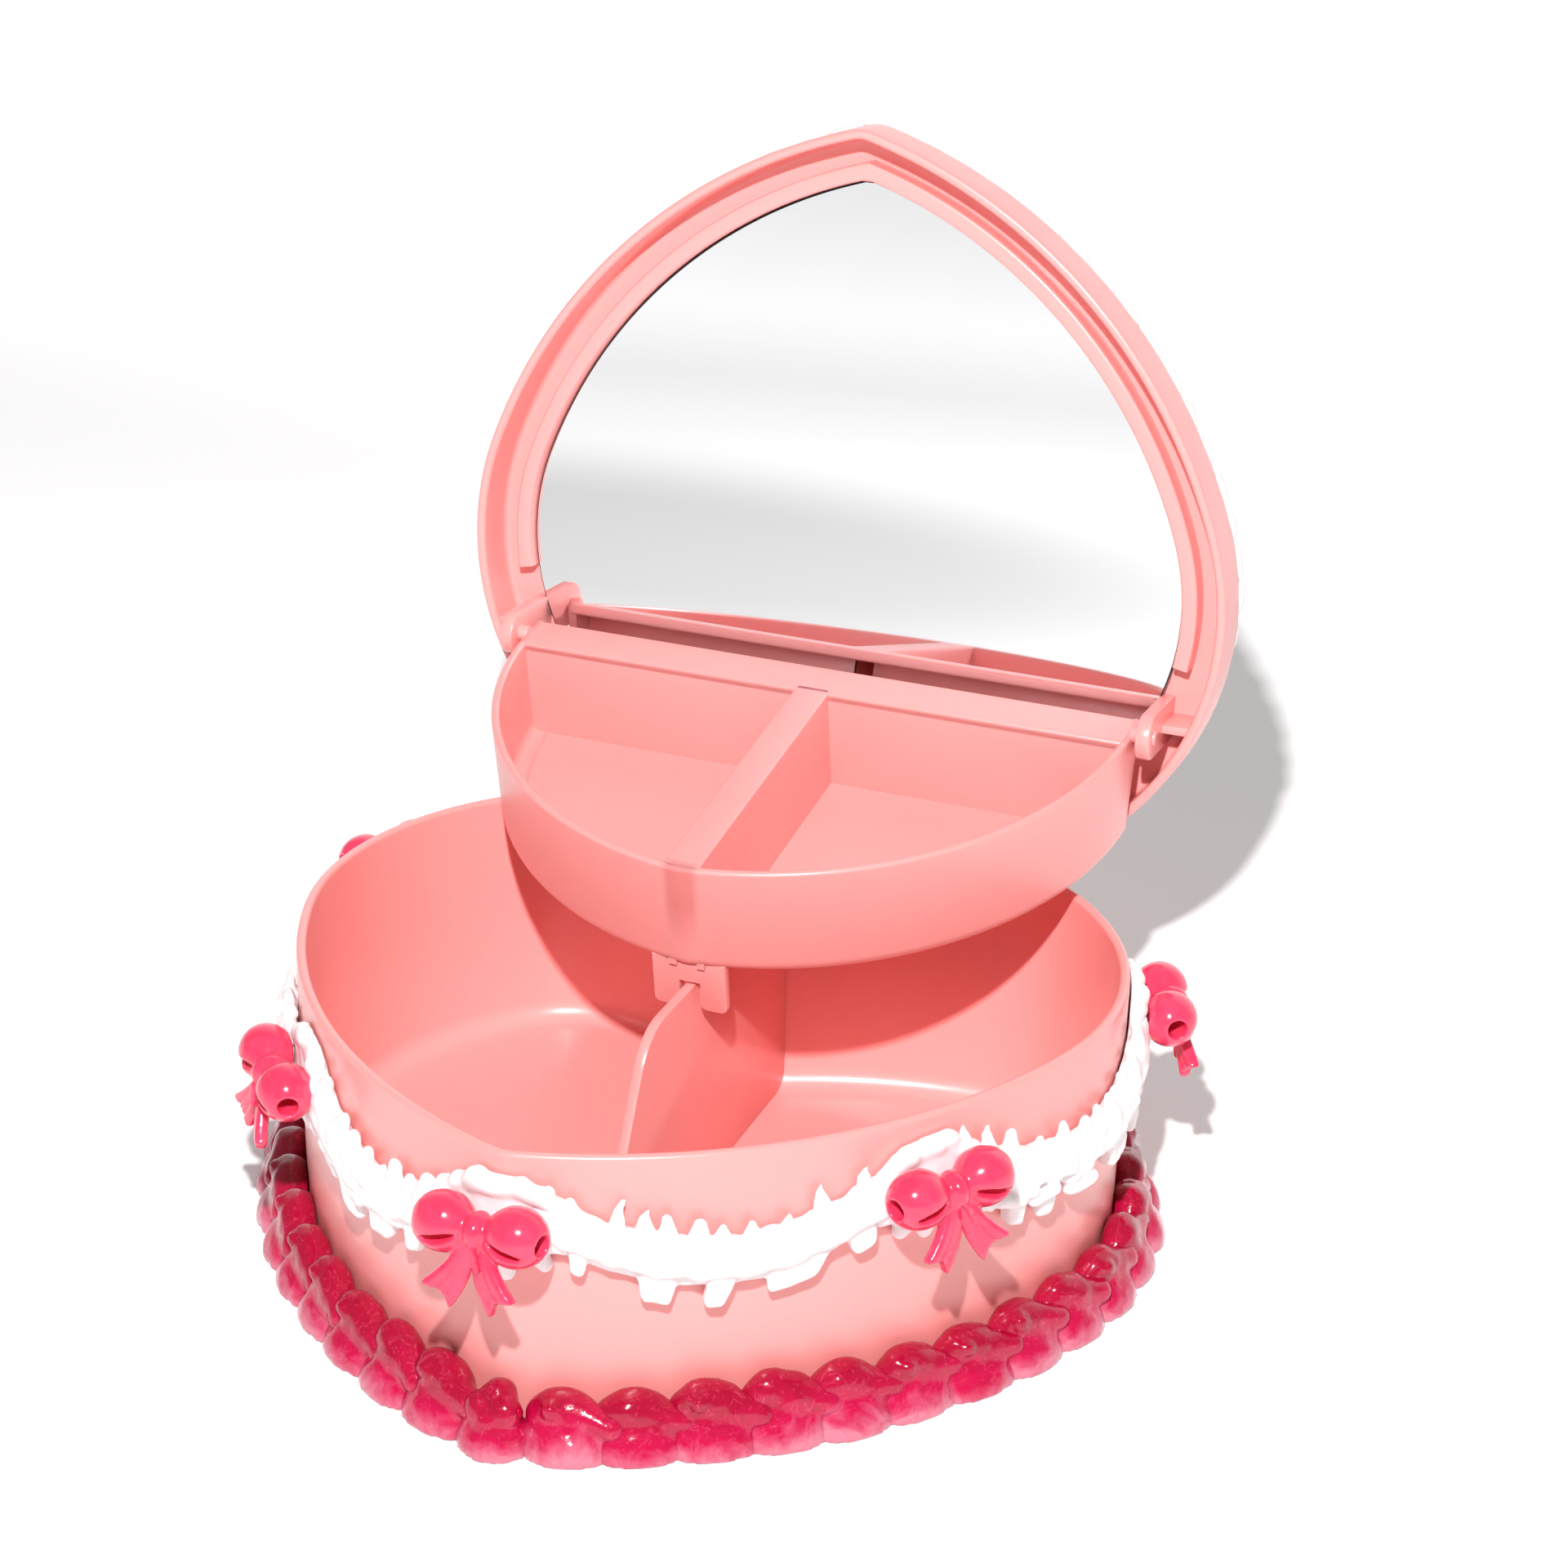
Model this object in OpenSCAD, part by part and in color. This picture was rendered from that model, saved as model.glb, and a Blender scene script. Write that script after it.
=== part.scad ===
// Two-level heart-shaped jewellery box with a mirror in its lid.
// The lid carries a half-heart tray on two side lugs. The tray's fork rides on the partition of the
// bowl, so that opening the lid lifts the tray and swings it back.
// Millimetres, +Z up, the tip of the heart towards -Y, the hinge at the back.
// Origin: on the surface that the box rests on, midway between the centres of the heart's shoulders.
// The box is modelled open, with the lid on its stops.

/* [Heart outline] */
// Width inside the bowl
heart_w = 145; // [130:1:160]
// Sideways place of the shoulder arc's centre
shoulder_x = 21; // [18:0.5:23]
// Distance from the shoulder centres forward to the tip arc's centre
tip_y = 76; // [72:0.5:80]
// Radius of the tip
tip_r = 4.7; // [3:0.1:7]
// Radius of the long side arcs
side_r = 101.3; // [95:0.5:120]
// Radius of the outer back corner of each lobe
lobe_r = 23; // [18:0.5:28]
// Radius of the lobes' back towards the cleft
cleft_side_r = 105; // [95:1:130]
// Radius of the nose in the cleft
cleft_r = 4; // [3:0.5:6]

/* [Bowl] */
// Height of the bowl
bowl_h = 51; // [48:0.5:56]
// Wall of the bowl and the lid
wall_t = 1.8; // [1.4:0.1:2.4]
// Thickness of the bowl's floor
floor_t = 2; // [1.5:0.1:3]

/* [Partition] */
// Thickness of the partition
partition_t = 2; // [1.6:0.1:2.2]
// Depth of the partition's flat top below the bowl's rim
partition_drop = 6.2; // [6:0.1:7]
// Height of the low ledge at the front
ledge_z = 21; // [15:0.5:21.5]
// Forward place where the line of the slope meets the flat top
slope_y = -28.6; // [-28.6:0.2:-27]
// Angle of the slope from the horizontal
slope_angle = 63; // [62:1:75]
// Radius that blends the flat top into the slope
slope_r = 11; // [11:0.5:14]

/* [Hinge] */
// Gap from the back of the bowl's wall to the hinge pin's axis
hinge_back = 3.2; // [3.2:0.1:4.5]
// Depth of the hinge axis below the rim
hinge_drop = 2.8; // [2.8:0.1:3.5]
// Radius of the knuckles
knuckle_r = 2.5; // [2.2:0.1:2.6]
// Length of the bowl's knuckle in each hinge
knuckle_len = 6; // [5:0.5:8]
// Length of each lid knuckle
lid_knuckle_len = 4; // [3:0.5:5]
// Diameter of the hinge pins
hinge_pin_d = 2; // [1.6:0.1:2.2]
// Opening angle of the lid at its stops
lid_open = 95; // [92:0.5:100]

/* [Lid] */
// Depth of the lid from rim to outer face
lid_depth = 13; // [12.5:0.5:16]
// Depth of the mirror's face below the lid's rim
mirror_drop = 7.2; // [6.5:0.1:7.5]
// Thickness of the mirror
mirror_t = 1.8; // [1.5:0.1:2.2]
// Thickness of the adhesive tape behind the mirror
tape_t = 0.3; // [0.2:0.05:0.5]
// Distance of the mirror's edge in from the lid's wall
mirror_inset = 7.5; // [7:0.1:9]
// Distance of the mirror's straight lower edge from the hinge axis
mirror_foot = 24; // [22:0.5:27]
// Width of the frame round the mirror
frame_w = 3; // [2:0.1:4]
// Height of the frame above the mirror's face
frame_rise = 2.4; // [1.5:0.1:3]
// Distance of the frame's square ends from the hinge axis
frame_foot = 41; // [40:0.5:50]
// How far the cream edging laps down the lid's side
edging_lap = 3.1; // [2:0.1:4]

/* [Tray] */
// Half width of the tray at its back
tray_half_w = 60.7; // [58:0.1:61]
// Depth of the tray from back to tip
tray_depth = 71.7; // [68:0.1:72.5]
// Height of the tray's wall
tray_h = 21; // [18:0.5:21.5]
// Wall of the tray
tray_wall = 1.6; // [1.2:0.1:2]
// Floor of the tray
tray_floor = 1.6; // [1.2:0.1:2]
// Width of the flange along the tray's back
flange_w = 9; // [7:0.5:10]
// Thickness of the flange
flange_t = 2; // [1.6:0.1:2.4]
// Width of the hollow divider
divider_w = 6.6; // [6.4:0.1:8]
// Clearance of the divider's hollow on each side of the partition
divider_gap = 0.9; // [0.5:0.1:1]
// Tilt of the tray, front end low, when the lid is open
tray_tilt = 8.75; // [8.75:0.05:9.2]
// Distance of the tray's pivot from the hinge axis along the lid
pivot_reach = 31.1; // [31:0.1:31.5]
// Height of the pivot above the lid's rim plane, towards the bowl
pivot_rise = 4.5; // [4.3:0.1:4.7]
// Distance of the tray's back edge behind the pivot
tray_back = 4.9; // [4:0.1:5]
// Height of the tray's rim above the pivot
tray_rim = 0.3; // [0.2:0.1:0.5]
// Diameter of the tray's pivot stubs
pivot_d = 3; // [2.5:0.1:3.4]
// Thickness of each lug on the lid
lug_t = 2.6; // [2:0.1:2.8]
// Radius of the lug round the pivot
lug_r = 4.2; // [3.5:0.1:4.5]
// Width of each fork prong
prong_w = 5; // [4:0.5:6]
// Length of the prongs below the notch
prong_len = 5.5; // [4:0.5:6]
// Distance from the tray's underside down to the notch of the fork
notch_drop = 3.7; // [3.5:0.1:3.8]
// Thickness of the fork
fork_t = 2; // [1.6:0.1:2.4]

/* [Trim] */
// Number of shells in the border round the foot
border_shells = 40; // [30:1:44]
// Height of the border
border_h = 11; // [9:0.5:12]
// How far the border stands out from the wall
border_w = 8; // [6:0.5:9]
// Height of the bows' knots above the table
bow_z = 41.5; // [39:0.5:42]
// Distance along the wall from the tip to the front right bow
bow_front_right_s = 67; // [64:0.5:72]
// Distance along the wall from the tip to the front left bow
bow_front_left_s = 54.5; // [52:0.5:72]
// Distance along the wall from the tip to the two rear bows
bow_rear_s = 136; // [130:0.5:145]
// Radius of a bow's loops
bow_loop_r = 4.9; // [4.5:0.1:5.4]
// Height of the cream swags' middle below the bows' knots
swag_drop = 7; // [5:0.5:8]
// Height of the swag's band
swag_h = 13; // [10:0.5:14]
// Thickness of the swag
swag_t = 4.5; // [3:0.5:5.5]
// Radius of the cream dab behind each bow
dab_r = 9; // [8:0.5:10]
// Thickness of the cream dabs
dab_t = 3; // [2:0.5:3.5]
// Thickness of the cream edging on the lid
edging_t = 4; // [3:0.5:5]

/* [Clearances] */
// Gap between the closed lid's rim and the bowl's rim
rim_gap = 0.2; // [0.15:0.05:0.4]
// Running gap between neighbouring knuckles
knuckle_gap = 0.3; // [0.2:0.05:0.4]
// Radial gap round the hinge pins and pivot stubs
pin_gap = 0.08; // [0.05:0.01:0.1]
// Thickness of the glue between a decoration and the wall
glue_gap = 0.12; // [0.12:0.02:0.2]
// Gap round the mirror's edge
mirror_gap = 0.2; // [0.1:0.05:0.4]

/* [Hidden] */

$fn = 48;
eps = 0.05;
sink = 0.5;
arc_step = 3;
big = 400;

plastic = "#fdb4ae";
cream = "#fffaf8";
bow_pink = "#f4557d";
raspberry = "#c41f55";
silver = "#d9dcde";

shoulder_r = heart_w / 2 - shoulder_x;
lobe_angle = 50;
cleft_angle = 95;
hinge_y = lobe_c(shoulder_x, shoulder_r, lobe_r).y + lobe_r + wall_t + hinge_back;
hinge_z = bowl_h - hinge_drop;
hinge_x = lobe_c(shoulder_x, shoulder_r, lobe_r).x;
lid_z = bowl_h + rim_gap;
partition_z = bowl_h - partition_drop;
trim_nose = 16;

// ---- outline -------------------------------------------------------------------------------

// An arc is [centre, radius, start angle, end angle]; a negative radius is a hollow (concave) arc.

function lobe_c(sx, sr, lr) = [sx + (sr - lr) * cos(lobe_angle), (sr - lr) * sin(lobe_angle)];

function side_c(sx, sr, ty, tr, br) =
    let (d1 = br - sr, d2 = br - tr, l = norm([sx, ty]),
         turn = acos((d1 * d1 + l * l - d2 * d2) / (2 * d1 * l)),
         base = atan2(-ty, -sx))
    [sx + d1 * cos(base - turn), d1 * sin(base - turn)];

function angle_to(from, to) = atan2(to.y - from.y, to.x - from.x);

// The tip, side and shoulder arcs of the right half, shared by the heart and the tray
function front_arcs(sx, sr, ty, tr, br, last) =
    let (c = side_c(sx, sr, ty, tr, br),
         low = angle_to(c, [0, -ty]), high = angle_to(c, [sx, 0]))
    [[[0, -ty], tr, -90, low], [c, br, low, high], [[sx, 0], sr, high, last]];

// The whole right half of the heart, from the tip round to the cleft
function heart_arcs(nose_r) =
    let (lc = lobe_c(shoulder_x, shoulder_r, lobe_r),
         cc = lc - (cleft_side_r - lobe_r) * [cos(cleft_angle), sin(cleft_angle)],
         nose_y = cc.y + sqrt(pow(cleft_side_r + nose_r, 2) - cc.x * cc.x),
         meet = angle_to(cc, [0, nose_y]))
    concat(front_arcs(shoulder_x, shoulder_r, tip_y, tip_r, side_r, lobe_angle),
           [[lc, lobe_r, lobe_angle, cleft_angle],
            [cc, cleft_side_r, cleft_angle, meet],
            [[0, nose_y], -nose_r, meet - 180, -90]]);

function on_arc(arc, angle, out) =
    arc[0] + (abs(arc[1]) + sign(arc[1]) * out) * [cos(angle), sin(angle)];

function arc_points(arc, out) =
    let (n = max(1, ceil(abs(arc[3] - arc[2]) / arc_step)))
    [for (i = [0 : n - 1]) on_arc(arc, arc[2] + (arc[3] - arc[2]) * i / n, out)];

// Where the right side arc, moved out by that much, meets the middle line
function side_cross(arc, out) =
    [0, arc[0].y - sqrt(pow(arc[1] + out, 2) - arc[0].x * arc[0].x)];

// Further in than its radius the tip is a plain corner between the side arcs
function half_points(arcs, out) =
    let (last = arcs[len(arcs) - 1], sharp = arcs[0][1] + out < eps)
    concat(sharp ? [side_cross(arcs[1], out)] : [],
           [for (i = [sharp ? 1 : 0 : len(arcs) - 1]) for (q = arc_points(arcs[i], out))
               if (!sharp || q.x > eps) q],
           [on_arc(last, last[3], out)]);

function reversed(v) = [for (i = [len(v) - 1 : -1 : 0]) v[i]];

// The closed outline: the right half and its mirror image
function outline(arcs, out) =
    let (half = half_points(arcs, out), last = len(half) - 1)
    concat(half, [for (i = [last : -1 : 0]) if (half[i].x > eps) [-half[i].x, half[i].y]]);

heart = heart_arcs(cleft_r);
trim_path = heart_arcs(trim_nose);

module heart_plate(out, z0, z1) {
    translate([0, 0, z0]) linear_extrude(z1 - z0) polygon(outline(heart, out));
}

module both_sides() {
    children();
    mirror([1, 0, 0]) children();
}

// ---- bowl ----------------------------------------------------------------------------------

module bowl_pan() {
    difference() {
        heart_plate(wall_t, 0, bowl_h);
        heart_plate(0, floor_t, bowl_h + 1);
    }
}

// Side view of the partition: flat top, blended slope and low ledge
module partition_side() {
    blend = slope_r * tan(slope_angle / 2);
    top_y = slope_y + blend;
    foot_y = slope_y - (partition_z - ledge_z) / tan(slope_angle);
    polygon(concat(
        [[cleft_nose_y() + wall_t / 2, floor_t / 2], [cleft_nose_y() + wall_t / 2, partition_z]],
        [for (i = [0 : 7])
            [top_y - slope_r * sin(i * slope_angle / 7),
             partition_z - slope_r * (1 - cos(i * slope_angle / 7))]],
        [[foot_y, ledge_z], [-tip_y - tip_r - wall_t / 2, ledge_z],
         [-tip_y - tip_r - wall_t / 2, floor_t / 2]]));
}

function cleft_nose_y() = heart[5][0].y - cleft_r;

module x_plate(thickness) {
    translate([-thickness / 2, 0, 0]) rotate([90, 0, 90]) linear_extrude(thickness) children();
}

module knuckle(length) {
    rotate([0, 90, 0]) cylinder(r = knuckle_r, h = length, center = true);
}

module hinge_bore(diameter, length) {
    rotate([0, 90, 0]) cylinder(d = diameter, h = length, center = true);
}

module base_body() {
    web_h = knuckle_r + hinge_drop - 0.4;
    color(plastic) difference() {
        union() {
            bowl_pan();
            x_plate(partition_t) partition_side();
            both_sides() translate([hinge_x, hinge_y, hinge_z]) {
                knuckle(knuckle_len);
                translate([-knuckle_len / 2, -hinge_back - wall_t / 2, -knuckle_r])
                    cube([knuckle_len, hinge_back + wall_t / 2, web_h]);
            }
        }
        both_sides() translate([hinge_x, hinge_y, hinge_z])
            hinge_bore(hinge_pin_d + 2 * pin_gap, knuckle_len + 1);
    }
}

hinge_pin_len = knuckle_len + 2 * (knuckle_gap + lid_knuckle_len);

module hinge_pin(side) {
    color(silver) translate([side * hinge_x, hinge_y, hinge_z])
        rotate([0, 90, 0]) cylinder(d = hinge_pin_d, h = hinge_pin_len, center = true);
}

// ---- lid -----------------------------------------------------------------------------------

// Turns a piece drawn on the closed box to the open lid's place
module on_open_lid() {
    translate([0, hinge_y, hinge_z]) rotate([-lid_open, 0, 0])
        translate([0, -hinge_y, -hinge_z]) children();
}

pivot_y = hinge_y - pivot_reach;
pivot_z = lid_z - pivot_rise;
lug_x = tray_half_w + 1.2;
mirror_z = lid_z + mirror_drop;
lid_floor_z = mirror_z + mirror_t + tape_t;
lid_top_z = lid_z + lid_depth;

module lid_pan() {
    difference() {
        heart_plate(wall_t, lid_z, lid_top_z);
        heart_plate(0, lid_z - 1, lid_floor_z);
    }
}

// Raised frame round the mirror's two sides and its tip
module mirror_frame() {
    low = mirror_z - frame_rise;
    intersection() {
        difference() {
            heart_plate(-mirror_inset + frame_w, low, lid_floor_z + sink);
            heart_plate(-mirror_inset, low - 1, lid_floor_z + 1);
        }
        translate([-big / 2, hinge_y - frame_foot - big, low - 1]) cube([big, big, big]);
    }
}

module lug(side) {
    x0 = side > 0 ? lug_x : -lug_x - lug_t;
    rib_t = 1.6;
    rib_len = heart_w / 2 - lug_x - lug_t;
    translate([x0, pivot_y, 0]) {
        translate([0, 0, pivot_z]) rotate([0, 90, 0]) cylinder(r = lug_r, h = lug_t);
        translate([0, -lug_r, pivot_z]) cube([lug_t, 2 * lug_r, lid_floor_z - pivot_z + sink]);
    }
    translate([side > 0 ? lug_x : -lug_x - rib_len, pivot_y - rib_t / 2, lid_z + 1])
        cube([rib_len, rib_t, lid_floor_z - lid_z]);
}

module lid_knuckles() {
    offset_x = (knuckle_len + lid_knuckle_len) / 2 + knuckle_gap;
    reach = hinge_back + wall_t;
    for (k = [-1, 1]) translate([hinge_x + k * offset_x, hinge_y, hinge_z]) {
        knuckle(lid_knuckle_len);
        translate([-lid_knuckle_len / 2, -hinge_back + 2 * knuckle_gap, 0])
            cube([lid_knuckle_len, knuckle_r + hinge_back - 2 * knuckle_gap, lid_z - hinge_z + 2]);
        translate([-lid_knuckle_len / 2, -reach + wall_t / 2, lid_z - hinge_z + 0.4])
            cube([lid_knuckle_len, reach - wall_t / 2 + knuckle_r, 4]);
        lid_stop_nib();
    }
}

// Heel on the lid's knuckle that comes to rest against the bowl's wall when the lid is open
module lid_stop_nib() {
    rotate([lid_open, 0, 0])
        translate([-lid_knuckle_len / 2, -hinge_back + knuckle_gap, -knuckle_r - 1])
            cube([lid_knuckle_len, hinge_back - knuckle_gap, knuckle_r + 1]);
}

module lid_shell() {
    color(plastic) on_open_lid() difference() {
        union() {
            lid_pan();
            mirror_frame();
            lug(1);
            lug(-1);
            both_sides() lid_knuckles();
        }
        both_sides() translate([hinge_x, hinge_y, hinge_z])
            hinge_bore(hinge_pin_d, hinge_pin_len + 1);
        translate([0, pivot_y, pivot_z]) rotate([0, 90, 0])
            cylinder(d = pivot_d + 2 * pin_gap, h = 2 * (lug_x + lug_t) + 2, center = true);
    }
}

// The heart's front, cut straight across near the hinge
module mirror_blank(out, z0, z1) {
    intersection() {
        heart_plate(out, z0, z1);
        translate([-big / 2, hinge_y - mirror_foot - big, z0 - 1]) cube([big, big, z1 - z0 + 2]);
    }
}

module mirror_glass() {
    color(silver) on_open_lid()
        mirror_blank(-mirror_inset - mirror_gap, mirror_z, mirror_z + mirror_t);
}

module mirror_tape() {
    tape_w = heart_w * 0.083;
    tape_len = heart_w * 0.48;
    tape_x = heart_w * 0.15;
    color("white") on_open_lid() for (x = [-tape_x, tape_x])
        translate([x - tape_w / 2, -tape_len / 2 - tape_w, mirror_z + mirror_t])
            cube([tape_w, tape_len, tape_t]);
}

// ---- tray ----------------------------------------------------------------------------------

// The tray is drawn level round its pivot, then set at the pivot's place on the open lid
function turned(v, a) = [v.x * cos(a) - v.y * sin(a), v.x * sin(a) + v.y * cos(a)];
pivot_open = [hinge_y, hinge_z] + turned([pivot_y - hinge_y, pivot_z - hinge_z], -lid_open);

tray_shoulder_x = tray_half_w * 0.308;
tray_tip_r = 8;
tray_bulge = 3.2;
tray_shoulder_r = tray_half_w - tray_shoulder_x;
tray_tip_y = tray_depth - tray_tip_r - tray_bulge;
// Angle at which the tray's side arc runs into its shoulder arc
tray_meet = 2.7;

// Radius of the side arc that touches both the tip arc and the shoulder arc at that angle
function side_radius(sx, sr, ty, tr, meet) =
    let (along = sx * cos(meet) + ty * sin(meet))
    (sx * sx + ty * ty + 2 * sr * along + sr * sr - tr * tr) / (2 * (along + sr - tr));

tray_side_r = side_radius(tray_shoulder_x, tray_shoulder_r, tray_tip_y, tray_tip_r, tray_meet);
tray_arcs = front_arcs(tray_shoulder_x, tray_shoulder_r, tray_tip_y, tray_tip_r, tray_side_r,
                       asin(tray_bulge / tray_shoulder_r));
tray_low = tray_rim - tray_h;

module on_lid_pivot() {
    translate([0, pivot_open.x, pivot_open.y]) rotate([tray_tilt, 0, 0]) children();
}

module tray_plate(out, z0, z1) {
    translate([0, tray_back - tray_bulge, z0]) linear_extrude(z1 - z0)
        polygon(outline(tray_arcs, out));
}

// Everything in front of y, as a cutting block
module in_front_of(y, z0, z1) {
    translate([-big / 2, y - big, z0]) cube([big, big, z1 - z0]);
}

function tray_back_half() = on_arc(tray_arcs[2], tray_arcs[2][3], 0).x;

module fork() {
    front_y = tray_back - tray_depth + tray_wall;
    slot = partition_t + 2 * divider_gap;
    notch_z = tray_low - notch_drop;
    tip_z = notch_z - prong_len;
    half = slot / 2 + prong_w;
    round_r = 1;
    translate([0, front_y + fork_t, 0]) rotate([90, 0, 0]) linear_extrude(fork_t) difference() {
        union() {
            translate([-half, tip_z + round_r])
                square([2 * half, tray_low + tray_floor - tip_z - round_r]);
            for (x = [-half + round_r, -slot / 2 - round_r, slot / 2 + round_r, half - round_r])
                translate([x, tip_z + round_r]) circle(r = round_r, $fn = 12);
            for (x = [-half + round_r, slot / 2 + round_r])
                translate([x, tip_z]) square([prong_w - 2 * round_r, round_r + eps]);
        }
        translate([-slot / 2, tip_z - 1]) square([slot, prong_len + 1]);
    }
}

module tray() {
    back_half = tray_back_half();
    slot = partition_t + 2 * divider_gap;
    cavity_top = tray_rim - 1.5;
    inner_y = tray_back - flange_w;
    color(plastic) on_lid_pivot() difference() {
        union() {
            difference() {
                tray_plate(0, tray_low, tray_rim);
                intersection() {
                    tray_plate(-tray_wall, tray_low + tray_floor, tray_rim + 1);
                    in_front_of(inner_y, tray_low, tray_rim + 1);
                }
            }
            translate([-divider_w / 2, tray_back - tray_depth + tray_wall / 2, tray_low])
                cube([divider_w, tray_depth - flange_w, tray_h]);
            fork();
        }
        translate([-slot / 2, tray_back - tray_depth + tray_wall, tray_low - 1])
            cube([slot, tray_depth, cavity_top - tray_low + 1]);
        translate([-big / 2, inner_y + tray_wall, tray_low - 1])
            cube([big, big, tray_h + 1 - flange_t]);
    }
    color(plastic) on_lid_pivot() both_sides()
        translate([back_half - sink, 0, 0]) rotate([0, 90, 0])
            cylinder(d = pivot_d, h = lug_x + lug_t + 0.6 - back_half + sink);
}

// ---- trim ----------------------------------------------------------------------------------

// Path points by length along the trim path: s = 0 at the tip, positive to the right
function arc_len(arc) = abs(arc[3] - arc[2]) * PI / 180 * abs(arc[1]);
function total(v, i = 0) = i >= len(v) ? 0 : v[i] + total(v, i + 1);
half_len = total([for (a = trim_path) arc_len(a)]);

// [point, normal] at length s from the tip on the right half
function walk(s, i = 0) =
    let (arc = trim_path[i], l = arc_len(arc))
    s > l && i < len(trim_path) - 1 ? walk(s - l, i + 1)
    : let (angle = arc[2] + (arc[3] - arc[2]) * min(s / l, 1))
      [on_arc(arc, angle, 0), sign(arc[1]) * [cos(angle), sin(angle)]];

function path_at(s) =
    let (turns = s / (2 * half_len), wrapped = s - 2 * half_len * floor(turns + 0.5),
         w = walk(abs(wrapped)))
    wrapped >= 0 ? w : [[-w[0].x, w[0].y], [-w[1].x, w[1].y]];

// A strip stuck to the wall: sections[i] is a list of [out, z] at length lengths[i]
function strip_point(s, q) = let (w = path_at(s)) [each (w[0] + w[1] * (wall_t + q[0])), q[1]];

module strip(lengths, sections, closed) {
    n = len(lengths);
    m = len(sections[0]);
    rows = closed ? n : n - 1;
    points = [for (i = [0 : n - 1]) each [for (q = sections[i]) strip_point(lengths[i], q)]];
    sides = [for (i = [0 : rows - 1]) for (j = [0 : m - 1])
        let (a = i * m + j, b = i * m + (j + 1) % m,
             c = ((i + 1) % n) * m + (j + 1) % m, d = ((i + 1) % n) * m + j)
        each [[a, b, c], [a, c, d]]];
    caps = closed ? [] : [[for (j = [m - 1 : -1 : 0]) j], [for (j = [0 : m - 1]) (n - 1) * m + j]];
    polyhedron(points, concat(sides, caps));
}

// Piped shells: each swells quickly and tails off into the next
function shell_size(phase) = 0.72 + 0.28 * sin(180 * pow(phase, 0.6));

module base_border() {
    per_shell = 5;
    n = border_shells * per_shell;
    lengths = [for (i = [0 : n - 1]) 2 * half_len * i / n];
    sections = [for (i = [0 : n - 1])
        let (k = shell_size((i % per_shell + 0.5) / per_shell), w = border_w * k, h = border_h * k)
        [[glue_gap, 0], [w * 0.8, 0], [w, h * 0.3], [w * 0.85, h * 0.68], [w * 0.5, h * 0.95],
         [glue_gap, h]]];
    color(raspberry) strip(lengths, sections, true);
}

// Bow places count round the heart from the tip: 1 and 2 on the right, -1 and -2 on the left
function bow_s(p) = p == 0 ? 0 : p == 1 ? bow_front_right_s : p == -1 ? -bow_front_left_s
    : sign(p) * (abs(p) == 2 ? bow_rear_s : half_len);
// The back swags stop short of the back bow, because the wall bends inwards there
back_inset = 6.5;

// A swag of ruffled cream between bow i and bow i + 1, counted round the heart from the tip.
// Its ends are thinner, under the bows' loops.
module swag(i) {
    n = 25;
    inset = dab_r * 0.8 + glue_gap;
    start = bow_s(i) + inset + (i == -3 ? back_inset : 0);
    span = bow_s(i + 1) - bow_s(i) - 2 * inset - (i == -3 || i == 2 ? back_inset : 0);
    lengths = [for (k = [0 : n - 1]) start + span * k / (n - 1)];
    sections = [for (k = [0 : n - 1])
        let (u = k / (n - 1), mid = bow_z - swag_drop * sin(180 * u) - 1,
             tooth = k % 4 == 1 || k % 4 == 2 ? 1 : 0, lo = mid - swag_h / 2 - 1.6 * tooth,
             hi = mid + swag_h / 2 + 0.8 * tooth, from_end = min(k, n - 1 - k) * span / (n - 1),
             thin = 0.58 + 0.42 * min(1, from_end / dab_r), t = swag_t * (0.85 + 0.15 * tooth) * thin)
        [[glue_gap, lo + 1], [t * 0.7, lo], [t, lo + 2.5], [t * 0.75, mid], [t, hi - 3],
         [t * 0.5, hi], [glue_gap, hi - 0.6]]];
    color(cream) strip(lengths, sections, false);
}

// Stands a piece on the wall at bow place p: x along the wall, y outwards from its face, z up
module on_wall(p) {
    w = path_at(bow_s(p));
    translate([w[0].x, w[0].y, 0] + [w[1].x, w[1].y, 0] * wall_t)
        rotate([0, 0, atan2(w[1].y, w[1].x) - 90]) children();
}

module dab(p) {
    back = 4;
    color(cream) difference() {
        on_wall(p) translate([0, -back, bow_z - 1]) rotate([-90, 0, 0])
            cylinder(r1 = dab_r, r2 = dab_r * 0.85, h = back + dab_t);
        heart_plate(wall_t + glue_gap, 0, bowl_h + dab_r);
        on_wall(p) for (s = [-1, 1]) translate([s * (dab_r * 0.8 + dab_r), 0, bow_z])
            cube([2 * dab_r, 4 * dab_r, 4 * dab_r], center = true);
    }
}

module bow_tail(side) {
    long = bow_loop_r * 2.1;
    wide = bow_loop_r * 0.84;
    rotate([0, side * -24, 0]) translate([0, 0, -long]) rotate([90, 0, 0])
        linear_extrude(wide * 0.45, center = true) polygon([
            [-wide * 0.2, long * 0.9], [wide * 0.2, long * 0.9], [wide * 0.5, long * 0.06],
            [wide * 0.1, long * 0.15], [-wide * 0.5, 0]]);
}

// Half outline of one bulb along its own axis, from the knot to the open outer end
bulb_outline = [[0.1, 0], [0.1, 0.35], [0.5, 0.66], [0.9, 0.92], [1.28, 1], [1.7, 0.92],
                [2.08, 0.7], [2.26, 0.42], [2.26, 0.3], [1.6, 0.26], [1.6, 0]];

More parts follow.
